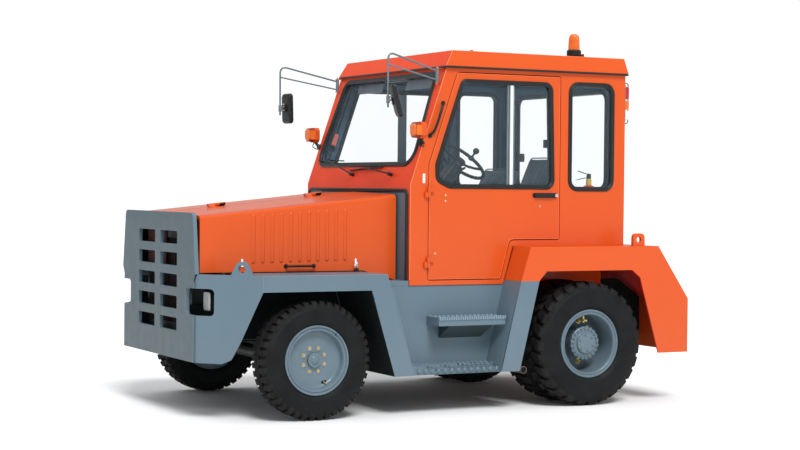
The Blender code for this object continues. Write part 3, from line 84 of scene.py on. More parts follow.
def surface(name, colour, rough=0.5, metal=0.0, coat=0.0, vary=0.06, scale=3.0, grain=0.0, grain_scale=300.0,
            dust=0.0, dust_top=0.75, rough_vary=0.08, sheen=0.0, gloss=0.3):
    """A Principled material with patchy colour and roughness, a fine bump and, low down, dust."""
    made = bpy.data.materials.new(name)
    made.use_nodes = True
    tree = made.node_tree
    shader = tree.nodes["Principled BSDF"]
    sockets(shader, {"Metallic": metal, "Coat Weight": coat, "Coat Roughness": 0.06})
    if not metal:
        sockets(shader, {"Specular IOR Level": gloss})
    if sheen:
        sockets(shader, {"Sheen Weight": sheen})
    place = tree.nodes.new("ShaderNodeTexCoord").outputs["Object"]

    def noise(size, detail=3.0):
        node = sockets(tree.nodes.new("ShaderNodeTexNoise"), {"Scale": size, "Detail": detail})
        tree.links.new(place, node.inputs["Vector"])
        return node.outputs["Fac"]

    def spread(value, low, high, start=0.3, end=0.7):
        node = sockets(tree.nodes.new("ShaderNodeMapRange"),
                       {"From Min": start, "From Max": end, "To Min": low, "To Max": high})
        tree.links.new(value, node.inputs["Value"])
        return node.outputs["Result"]

    def blend(factor, first, second):
        node = tree.nodes.new("ShaderNodeMix")
        node.data_type = "RGBA"
        tree.links.new(factor, node.inputs["Factor"])
        for socket, value in ((node.inputs["A"], first), (node.inputs["B"], second)):
            if isinstance(value, tuple):
                socket.default_value = (*value, 1)
            else:
                tree.links.new(value, socket)
        return node.outputs["Result"]

    patches = spread(noise(scale), 0.0, 1.0)
    darker = tuple(c * (1 - vary) for c in colour)
    lighter = tuple(min(1.0, c * (1 + vary)) for c in colour)
    result = blend(patches, darker, lighter)
    if dust:
        parts = tree.nodes.new("ShaderNodeSeparateXYZ")
        tree.links.new(place, parts.inputs["Vector"])
        low = spread(parts.outputs["Z"], dust, 0.0, 0.22, dust_top)
        speckle = spread(noise(14.0, 6.0), 0.35, 1.0)
        amount = tree.nodes.new("ShaderNodeMath")
        amount.operation = "MULTIPLY"
        tree.links.new(low, amount.inputs[0])
        tree.links.new(speckle, amount.inputs[1])
        result = blend(amount.outputs["Value"], result, (0.3, 0.27, 0.23))
    tree.links.new(result, shader.inputs["Base Color"])
    streaks = spread(noise(scale * 7, 5.0), max(0.02, rough - rough_vary), min(1.0, rough + rough_vary))
    tree.links.new(streaks, shader.inputs["Roughness"])
    if grain:
        bump = sockets(tree.nodes.new("ShaderNodeBump"), {"Strength": grain, "Distance": 0.001})
        tree.links.new(noise(grain_scale, 4.0), bump.inputs["Height"])
        tree.links.new(bump.outputs["Normal"], shader.inputs["Normal"])
    return made


def lens(name, colour, alpha=1.0, rough=0.08, painted_glow=0.0, ribs=0.0):
    """Coloured or clear plastic or glass, with moulded ribs as a bump; painted_glow is a faint emission, a painted glow
    that brightens the lens under any light.
    """
    made = surface(name, colour, rough, coat=0.6, vary=0.1, scale=30.0, rough_vary=0.03)
    shader = made.node_tree.nodes["Principled BSDF"]
    shader.inputs["Alpha"].default_value = alpha
    if painted_glow:
        sockets(shader, {"Emission Color": (*colour, 1), "Emission Strength": painted_glow})
    if ribs:
        tree = made.node_tree
        wave = sockets(tree.nodes.new("ShaderNodeTexWave"), {"Scale": ribs})
        bump = sockets(tree.nodes.new("ShaderNodeBump"), {"Strength": 0.5, "Distance": 0.002})
        place = tree.nodes.new("ShaderNodeTexCoord")
        tree.links.new(place.outputs["Object"], wave.inputs["Vector"])
        tree.links.new(wave.outputs["Fac"], bump.inputs["Height"])
        tree.links.new(bump.outputs["Normal"], shader.inputs["Normal"])
    return made


ORANGE = surface("paint_orange", (0.66, 0.088, 0.012), 0.34, coat=0.16, vary=0.025, scale=1.3, grain=0.05,
                 grain_scale=420.0, dust=0.05, dust_top=0.8, rough_vary=0.04, gloss=0.25)
# A lighter orange for roundings and beads: a painted highlight along the edges.
ORANGE_HIGHLIGHT = surface("paint_orange_painted_highlight", (0.86, 0.2, 0.075), 0.3, coat=0.2, vary=0.05, scale=9.0, gloss=0.4)
# A redder, less glossy copy of the orange for front faces: painted light, how light falls on them.
ORANGE_FRONT_PAINTED_LIGHT = surface("paint_orange_front_painted_light", (0.76, 0.062, 0.012), 0.36, coat=0.1, vary=0.025, scale=1.3, grain=0.05,
                       grain_scale=420.0, dust=0.04, dust_top=0.8, rough_vary=0.04, gloss=0.12)
# Red inside the rear wheel arch: painted bounce light and shade, with dust low down.
ARCH_PAINTED_BOUNCE_SHADE = surface("paint_orange_arch_painted_bounce_shade", (0.8, 0.04, 0.03), 0.5, vary=0.2, scale=5.0, grain=0.2, grain_scale=200.0,
               dust=0.25, dust_top=0.8, gloss=0.15)
GREY = surface("paint_grey", (0.122, 0.182, 0.226), 0.46, coat=0.06, vary=0.035, scale=1.8, grain=0.1,
               grain_scale=360.0, dust=0.08, dust_top=0.7, rough_vary=0.05, gloss=0.25)
# A darker copy of the grey for the nose's front face: painted shade.
GREY_FRONT_PAINTED_SHADE = surface("paint_grey_front_painted_shade", (0.072, 0.108, 0.128), 0.46, coat=0.06, vary=0.05, scale=1.8, grain=0.1,
                     grain_scale=360.0, dust=0.06, dust_top=0.9, rough_vary=0.05, gloss=0.25)
# Darker grey under the step: painted shade.
GREY_PAINTED_SHADE = surface("paint_grey_painted_shade", (0.038, 0.058, 0.062), 0.6, vary=0.1, scale=6.0, grain=0.2, grain_scale=300.0,
                     dust=0.1, dust_top=0.6, gloss=0.2)
# A lighter grey for roundings, step teeth and dimples: a painted highlight.
GREY_HIGHLIGHT = surface("paint_grey_painted_highlight", (0.21, 0.3, 0.36), 0.36, coat=0.1, vary=0.06, scale=9.0)
INSIDE = surface("paint_interior", (0.052, 0.108, 0.165), 0.5, vary=0.06, grain=0.25, grain_scale=500.0)
UNDERSEAL = surface("underseal", (0.01, 0.014, 0.015), 0.85, vary=0.25, scale=6.0, grain=0.6, grain_scale=160.0,
                    gloss=0.12)
STEEL_DARK = surface("steel_dark", (0.016, 0.021, 0.023), 0.55, 0.2, vary=0.3, scale=9.0, grain=0.3,
                     grain_scale=120.0, dust=0.15, dust_top=0.5)
TYRE = surface("tyre_rubber", (0.0075, 0.0088, 0.0092), 0.6, vary=0.3, scale=7.0, grain=0.35, grain_scale=260.0,
               gloss=0.16)
TREAD = surface("tyre_tread", (0.0125, 0.012, 0.0115), 0.72, vary=0.4, scale=14.0, grain=0.5, grain_scale=190.0,
                gloss=0.16)
SEAL = surface("rubber_seal", (0.013, 0.016, 0.017), 0.42, vary=0.2, scale=12.0, grain=0.15, grain_scale=400.0,
               gloss=0.35)
PLASTIC = surface("plastic_black", (0.012, 0.014, 0.015), 0.42, vary=0.15, scale=10.0, grain=0.3, grain_scale=700.0)
DASH = surface("dash_plastic", (0.05, 0.06, 0.068), 0.62, vary=0.1, scale=8.0, grain=0.5, grain_scale=600.0)
RIM = surface("paint_wheel", (0.122, 0.175, 0.212), 0.34, coat=0.15, vary=0.07, scale=7.0, grain=0.12,
              grain_scale=300.0)
CHROME = surface("chrome", (0.86, 0.86, 0.86), 0.14, 1.0, vary=0.03, scale=20.0, rough_vary=0.05)
ZINC = surface("zinc", (0.56, 0.47, 0.3), 0.35, 0.8, vary=0.15, scale=60.0, grain=0.2, grain_scale=900.0)
BRASS = surface("brass", (0.8, 0.6, 0.22), 0.3, 0.7, vary=0.15, scale=50.0)
STEEL = surface("steel_bare", (0.42, 0.41, 0.39), 0.34, 0.95, vary=0.15, scale=30.0, grain=0.25, grain_scale=500.0)
RUST = surface("steel_heated", (0.2, 0.135, 0.1), 0.62, 0.5, vary=0.35, scale=22.0, grain=0.4, grain_scale=260.0)
VINYL = surface("seat_vinyl", (0.105, 0.14, 0.175), 0.55, vary=0.08, scale=9.0, grain=0.55, grain_scale=420.0,
                sheen=0.15)
CORE = surface("radiator_core", (0.02, 0.014, 0.013), 0.6, 0.2, vary=0.5, scale=9.0, grain=0.6, grain_scale=500.0)
RED = surface("paint_red", (0.55, 0.018, 0.012), 0.25, coat=0.4, vary=0.06, scale=9.0)
YELLOW = surface("band_yellow", (0.75, 0.5, 0.05), 0.4, vary=0.06, scale=20.0)
WHITE = surface("trim_white", (0.8, 0.82, 0.82), 0.4, vary=0.03, scale=15.0)
TUBE = surface("tube_grey", (0.15, 0.19, 0.215), 0.38, 0.2, vary=0.08, scale=30.0)
AMBER = lens("lens_amber", (0.8, 0.15, 0.006), painted_glow=0.06, ribs=90.0)
AMBER_DEEP = lens("lens_amber_deep", (0.3, 0.012, 0.004), ribs=60.0)
RED_LENS = lens("lens_red", (0.5, 0.008, 0.01), painted_glow=0.04, ribs=90.0)
CLEAR = lens("lens_clear", (0.88, 0.9, 0.9), alpha=0.45, ribs=60.0)
GLASS = lens("window_glass", (0.5, 0.68, 0.8), alpha=0.035, rough=0.03)
MIRROR = surface("mirror_glass", (0.85, 0.88, 0.9), 0.04, 1.0, vary=0.01, rough_vary=0.01)
MAT = surface("floor_mat", (0.02, 0.022, 0.023), 0.85, vary=0.2, scale=8.0, grain=0.7, grain_scale=200.0)


# Meshes


def rounded(outline, radii, steps=6):
    """The outline with arcs at its corners: one radius for all, or one for each."""
    if not isinstance(radii, (list, tuple)):
        radii = [radii] * len(outline)
    points = [Vector(point) for point in outline]
    result = []
    for i, here in enumerate(points):
        if not radii[i]:
            result.append(tuple(here))
            continue
        back = (points[i - 1] - here).normalized()
        ahead = (points[(i + 1) % len(points)] - here).normalized()
        half = back.angle(ahead) / 2
        start = here + back * radii[i] / tan(half)
        centre = here + (back + ahead).normalized() * radii[i] / sin(half)
        sweep = (start - centre).angle_signed(here + ahead * radii[i] / tan(half) - centre)
        for k in range(steps + 1):
            result.append(tuple(centre + Matrix.Rotation(-sweep * k / steps, 2) @ (start - centre)))
    return result


def rectangle(low, high):
    return [(low[0], low[1]), (high[0], low[1]), (high[0], high[1]), (low[0], high[1])]


def finished(name, mesh, materials, body, bevel=0.0, smooth=40, stands_for=(), centre=None, steps=2):
    """Turns a bmesh into a piece that rides on a body. centre is where its origin goes."""
    bmesh.ops.recalc_face_normals(mesh, faces=mesh.faces)
    data = bpy.data.meshes.new(name)
    if centre is not None:
        mesh.transform(Matrix.Translation(-Vector(centre)))
    mesh.to_mesh(data)
    mesh.free()
    for made in materials if isinstance(materials, (list, tuple)) else (materials,):
        data.materials.append(made)
    data.shade_smooth()
    data.set_sharp_from_angle(angle=radians(smooth))
    piece = bpy.data.objects.new(name, data)
    bpy.context.scene.collection.objects.link(piece)
    if centre is not None:
        piece.location = centre
    if bevel:
        rounding(piece, bevel, steps)
    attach(piece, body)
    if stands_for:
        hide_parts(*stands_for)
    return piece


def rounding(piece, width, steps=2, angle=30):
    step = piece.modifiers.new("edges", "BEVEL")
    step.width = width
    step.segments = steps
    step.limit_method = "ANGLE"
    step.angle_limit = radians(angle)
    step.use_clamp_overlap = True
    even = piece.modifiers.new("normals", "WEIGHTED_NORMAL")
    even.keep_sharp = False


def paint(mesh, before, index):
    """Gives the faces made since there were `before` of them a material slot."""
    mesh.faces.ensure_lookup_table()
    for face in mesh.faces[before:]:
        face.material_index = index


def skin(mesh, rings, closed=False, caps=True, index=0):
    """Faces between rings of as many points each."""
    before = len(mesh.faces)
    made = [[mesh.verts.new(point) for point in ring] for ring in rings]
    pairs = list(zip(made, made[1:])) + ([(made[-1], made[0])] if closed else [])
    count = len(made[0])
    for first, second in pairs:
        for i in range(count):
            j = (i + 1) % count
            mesh.faces.new((first[i], first[j], second[j], second[i]))
    if caps and not closed:
        mesh.faces.new(made[0])
        mesh.faces.new(made[-1])
    if index:
        paint(mesh, before, index)


def prism(mesh, outline, axis, low, high, index=0):
    def place(pair, along):
        point = list(pair)
        point.insert("xyz".index(axis), along)
        return point

    skin(mesh, [[place(pair, along) for pair in outline] for along in (low, high)], index=index)


def block(mesh, low, high, index=0):
    low, high = [min(a, b) for a, b in zip(low, high)], [max(a, b) for a, b in zip(low, high)]
    prism(mesh, rectangle(low[:2], high[:2]), "z", low[2], high[2], index)


def lathe(mesh, profile, steps=96, centre=(0, 0, 0), axis="y", index=0, open_ends=False):
    """Turns (radius, distance along the axis) pairs. A closed profile, unless open_ends."""
    before = len(mesh.faces)
    rings = []
    poles = {}
    for k in range(steps):
        c, s = cos(2 * pi * k / steps), sin(2 * pi * k / steps)
        ring = []
        for i, (r, d) in enumerate(profile):
            if r < 1e-6 and i in poles:
                ring.append(poles[i])
                continue
            spot = {"y": (r * c, d, r * s), "z": (r * c, r * s, d), "x": (d, r * c, r * s)}[axis]
            vertex = mesh.verts.new([a + b for a, b in zip(spot, centre)])
            if r < 1e-6:
                poles[i] = vertex
            ring.append(vertex)
        rings.append(ring)
    last = len(profile) - (1 if open_ends else 0)
    for k in range(steps):
        first, second = rings[k], rings[(k + 1) % steps]
        for i in range(last):
            j = (i + 1) % len(profile)
            corners = []
            for vertex in (first[i], first[j], second[j], second[i]):
                if vertex not in corners:
                    corners.append(vertex)
            if len(corners) > 2:
                mesh.faces.new(corners)
    if index:
        paint(mesh, before, index)


def frames_along(path, closed=False, up=None):
    """(point, side, up) along a path, with as little turning as can be."""
    points = [Vector(p) for p in path]
    count = len(points)
    result = []
    side = None
    for i, here in enumerate(points):
        back = points[i - 1] if i or closed else here
        ahead = points[(i + 1) % count] if i < count - 1 or closed else here
        along = (ahead - back).normalized()
        if up is not None:
            across = along.cross(Vector(up)).normalized()
            result.append((here, across, Vector(up)))
            continue
        if side is None:
            side = along.orthogonal().normalized()
        side = (side - along * side.dot(along)).normalized()
        result.append((here, side, along.cross(side)))
    return result


def sweep(mesh, path, section, closed=False, up=None, index=0, caps=True):
    """Carries a section of (across, up) pairs along a path."""
    rings = []
    for here, across, above in frames_along(path, closed, up):
        rings.append([here + across * a + above * b for a, b in section])
    skin(mesh, rings, closed, caps, index)


def tube(mesh, path, radius, sides=12, closed=False, index=0):
    ring = [(radius * cos(2 * pi * k / sides), radius * sin(2 * pi * k / sides)) for k in range(sides)]
    sweep(mesh, path, ring, closed, None, index)


def rod(mesh, start, end, radius, sides=24, index=0, end_radius=None):
    start, end = Vector(start), Vector(end)
    turn = (end - start).to_track_quat("Z", "Y").to_matrix()
    rings = []
    for here, r in ((start, radius), (end, end_radius or radius)):
        rings.append([here + turn @ Vector((r * cos(2 * pi * k / sides), r * sin(2 * pi * k / sides), 0))
                      for k in range(sides)])
    skin(mesh, rings, index=index)


def bend(points, radius, steps=6):
    """A path with its corners rounded."""
    points = [Vector(p) for p in points]
    result = [points[0]]
    for before, here, after in zip(points, points[1:], points[2:]):
        back, ahead = (before - here).normalized(), (after - here).normalized()
        reach = min(radius, (before - here).length * 0.49, (after - here).length * 0.49)
        start, end = here + back * reach, here + ahead * reach
        for k in range(steps + 1):
            t = k / steps
            result.append(start * (1 - t) ** 2 + here * 2 * t * (1 - t) + end * t * t)
    result.append(points[-1])
    return result


def bolt(mesh, place, normal, size, height, index=0, washer=True, dome=True):
    """A hexagon bolt head or nut on a washer."""
    place, normal = Vector(place), Vector(normal).normalized()
    turn = normal.to_track_quat("Z", "Y").to_matrix()

    def ring(radius, along, sides, twist=0.0):
        return [place + turn @ Vector((radius * cos(2 * pi * k / sides + twist),
                                       radius * sin(2 * pi * k / sides + twist),
                                       along)) for k in range(sides)]

    if washer:
        skin(mesh, [ring(size * 0.78, -0.001, 20), ring(size * 0.78, height * 0.2, 20)], index=index)
    skin(mesh, [ring(size * 0.5 / cos(pi / 6), -0.001, 6), ring(size * 0.5 / cos(pi / 6), height * 0.86, 6),
                ring(size * 0.46, height, 6)], index=index)
    if dome:
        skin(mesh, [ring(size * 0.26, height * 0.9, 12), ring(size * 0.26, height * 1.3, 12),
                    ring(size * 0.18, height * 1.45, 12)], index=index)


# CAD nodes that stay: a fine rounding on their edges, and their materials


def finish_node(name, materials, width=0.0025, pick=None, edge=None):
    """Materials for a CAD node. pick gives a face's material from its middle and normal, edge is a lighter paint for
    its roundings, a painted highlight.
    """
    piece = nodes[name]
    piece.data.materials.clear()
    for made in materials:
        piece.data.materials.append(made)
    for face in piece.data.polygons:
        face.material_index = pick(face.center, face.normal) if pick else 0
    weld = piece.modifiers.new("weld", "WELD")
    weld.merge_threshold = 0.00005
    plain = piece.modifiers.new("plain", "DECIMATE")
    plain.decimate_type = "DISSOLVE"
    plain.angle_limit = radians(1.0)
    plain.delimit = {"MATERIAL"}
    if width:
        rounding(piece, width)
    if edge:
        piece.data.materials.append(edge)
        piece.modifiers["edges"].material = len(materials)


def inside_cab(centre, normal):
    """0 outside, 1 towards the cab's room and in the window reveals, 2 underneath, 3 on the front faces, which get a
    redder copy of the orange as painted light.
    """
    if centre.z < 0.818 and normal.z < -0.5:
        return 2
    front = CAB_FRONT_X - max(0.0, centre.z - FOLD_Z) * LEAN
    behind = CAB_REAR_X + 0.03 < centre.x < front - 0.03
    if abs(centre.y) < CAB_Y - 0.03 and behind and centre.z > 0.845:
        return 1
    if abs(centre.y) < CAB_Y - 0.03 and abs(normal.x) < 0.45 and 1.2 < centre.z < 2.2:
        return 1
    if abs(normal.y) < 0.3 and behind and centre.x < -0.8 and 1.2 < centre.z < 2.2:
        return 1
    return 3 if normal.x > 0.8 else 0


def door_face(centre, normal):
    front = 0.225 - max(0.0, centre.z - 1.6) * LEAN
    reveal = abs(normal.y) < 0.3 and -0.72 < centre.x < front and 1.15 < centre.z < 2.17
    return 1 if abs(centre.y) < CAB_Y - 0.03 or reveal else 0


# 1 for the ceiling inside, 2 for front faces: the redder orange, painted light.
def roof_face(centre, normal):
    if normal.z < -0.3 and abs(centre.y) < 0.74 and CAB_REAR_X + 0.03 < centre.x < 0.1:
        return 1
    return 2 if normal.x > 0.5 else 0


def hood_face(centre, normal):
    return 1 if abs(centre.y) < HOOD_Y - 0.015 and normal.z < 0.3 and abs(normal.y) > 0.3 or normal.z < -0.5 else 0


def fender_face(centre, normal):
    return 1 if abs(centre.y) < BODY_Y - 0.008 and centre.z < 0.897 and normal.x < 0.97 else 0


# 1 under the step: the darker grey, painted shade.
def step_face(centre, normal):
    shaded_under = abs(centre.y) > 0.775 and -0.235 < centre.x < 0.258 and 0.42 < centre.z < 0.5585
    return 1 if shaded_under and normal.z < 0.5 else 0


# 1 for hidden inner faces and undersides, 2 for the front face: the darker grey, painted shade.
def nose_face(centre, normal):
    hidden = centre.x < NOSE_X - 0.028 and abs(centre.y) < 0.63 and abs(normal.x) > 0.5
    if hidden and centre.z < 1.2 or (normal.z < -0.5 and centre.z > 0.86):
        return 1
    return 2 if normal.x > 0.9 and centre.x > NOSE_X - 0.01 else 0


# 2 inside the rear wheel arch: the red arch paint, painted bounce light and shade.
def rear_face(centre, normal):
    arch_shade = 0.42 < abs(centre.y) < BODY_Y - 0.006 and -1.66 < centre.x < -0.3
    if arch_shade and normal.z < -0.2 and centre.z > 0.6:
        return 2
    return 2 if normal.x > 0.2 and -1.66 < centre.x < -0.9 and centre.z < 1.0 else 0


finish_node("cab_shell", (ORANGE, INSIDE, UNDERSEAL, ORANGE_FRONT_PAINTED_LIGHT), pick=inside_cab)
finish_node("cab_roof", (ORANGE, INSIDE, ORANGE_FRONT_PAINTED_LIGHT), 0.003, pick=roof_face, edge=ORANGE_HIGHLIGHT)
finish_node("rear_body", (ORANGE, UNDERSEAL, ARCH_PAINTED_BOUNCE_SHADE), 0.0035, pick=rear_face)
finish_node("nose_plate", (GREY, UNDERSEAL, GREY_FRONT_PAINTED_SHADE), 0.0035, pick=nose_face, edge=GREY_HIGHLIGHT)
finish_node("chassis_frame", (UNDERSEAL,), 0.003)
finish_node("hood_ridge_bar", (ORANGE,), 0.0015)
finish_node("engine_block", (STEEL_DARK,), 0.008)
for name in ("front_axle", "rear_axle", "knuckle_left", "knuckle_right", "tow_coupling"):
    finish_node(name, (STEEL_DARK,), 0.003)
finish_node("hitch_pin", (STEEL,), 0.001)
for side, sign in SIDES:
    finish_node(f"door_{side}", (ORANGE, INSIDE), pick=door_face)
    finish_node(f"hood_{side}", (ORANGE, UNDERSEAL), 0.004, pick=hood_face)
    finish_node(f"front_fender_{side}", (GREY, UNDERSEAL), pick=fender_face, edge=GREY_HIGHLIGHT)
    finish_node(f"step_box_{side}", (GREY, GREY_PAINTED_SHADE), 0.002, pick=step_face, edge=GREY_HIGHLIGHT)
    for pane in ("side_glass", "door_glass"):
        finish_node(f"{pane}_{side}", (GLASS,), 0.0008)
for pane in ("windscreen", "rear_glass"):
    finish_node(pane, (GLASS,), 0.0008)


# Wheels


def tyre(name, body, node, centre, sizes, lug):
    """A carcass turned about the axle, with lugs laid round its tread."""
    radius, floor, shoulder_y, bead, flange, wide = sizes
    side = [
        (flange - 0.012, bead - 0.004), (flange + 0.001, bead - 0.001), (flange + 0.004, bead + 0.006),
        (flange + 0.012, bead + 0.012), (flange + 0.022, wide - 0.004), (flange + 0.026, wide - 0.0035),
        (flange + 0.028, wide - 0.001), (flange + 0.032, wide - 0.001), (flange + 0.034, wide - 0.0025),
        ((flange + radius) / 2, wide - 0.0008), (radius - 0.066, wide - 0.002), (radius - 0.062, wide - 0.0005),
        (radius - 0.057, wide - 0.0008), (radius - 0.054, wide - 0.004), (radius - 0.04, wide - 0.009),
        (radius - 0.024, shoulder_y + 0.006), (floor, shoulder_y - 0.012), (floor + 0.001, 0.0),
    ]
    mesh = bmesh.new()
    lathe(mesh, side + [(r, -y) for r, y in reversed(side[:-1])], 96)
    before = len(mesh.faces)
    for hand in (1, -1):
        for k in range(lug["count"]):
            turn = 2 * pi * (k + (lug["stagger"] if hand < 0 else 0)) / lug["count"]
            rings = []
            for y, low, high, width, shift in lug["stations"]:
                ring = []
                for edge, r in ((-1, low), (1, low), (1, high), (-1, high)):
                    angle = turn + (shift * (1 if lug["mirror"] or hand > 0 else -1) + edge * width / 2) / radius
                    ring.append((r * cos(angle), hand * y, r * sin(angle)))
                rings.append(ring)
            skin(mesh, rings)
    for y, width, swing, high in lug["ribs"]:
        rings, count = [], lug["count"] * 4
        for k in range(count):
            angle = 2 * pi * k / count
            push = swing * (1, 0, -1, 0)[k % 4]
            rings.append([(r * cos(angle), y + push + d, r * sin(angle))
                          for d, r in ((-width / 2, floor - 0.004), (width / 2, floor - 0.004),
                                       (width / 2 - 0.001, high), (-width / 2 + 0.001, high))])
        skin(mesh, rings, closed=True)
    paint(mesh, before, 1)
    mesh.transform(Matrix.Translation(centre))
    return finished(name, mesh, (TYRE, TREAD), body, 0.0018, 35, (node,), centre, steps=1)


def lug_front():
    r = 0.3735
    return {"count": 42, "stagger": 0.5, "mirror": False,
            "stations": [(0.03, r - 0.018, r - 0.0002, 0.032, -0.003), (0.052, r - 0.018, r - 0.001, 0.036, 0.001),
                         (0.076, r - 0.02, r - 0.0035, 0.036, 0.003), (0.086, r - 0.028, r - 0.013, 0.034, 0.003),
                         (0.0905, r - 0.044, r - 0.032, 0.031, 0.003), (0.09, r - 0.052, r - 0.045, 0.026, 0.003)],
            "ribs": [(0.0135, 0.017, 0.003, r), (-0.0135, 0.017, 0.003, r)]}


def lug_rear():
    r = 0.415
    return {"count": 27, "stagger": 0.5, "mirror": True,
            "stations": [(0.002, r - 0.022, r, 0.04, 0.03), (0.03, r - 0.022, r - 0.0005, 0.056, 0.02),
                         (0.058, r - 0.022, r - 0.002, 0.064, 0.006), (0.084, r - 0.024, r - 0.005, 0.066, -0.003),
                         (0.096, r - 0.036, r - 0.018, 0.064, -0.006), (0.101, r - 0.052, r - 0.04, 0.058, -0.008),
                         (0.1005, r - 0.06, r - 0.054, 0.05, -0.008)],
            "ribs": []}


# Radius, the tread's floor, shoulder, bead, flange radius, half width
FRONT_SIZES = (0.3735, 0.359, 0.078, 0.079, 0.218, 0.098)
REAR_SIZES = (0.415, 0.397, 0.086, 0.083, 0.229, 0.108)


def wheel_nuts(mesh, centre, sign, face, circle, count, size, height, index, start=0.0):
    for k in range(count):
        angle = start + 2 * pi * k / count
        place = (centre[0] + circle * cos(angle), centre[1] + sign * face, centre[2] + circle * sin(angle))
        bolt(mesh, place, (0, sign, 0), size, height, index)


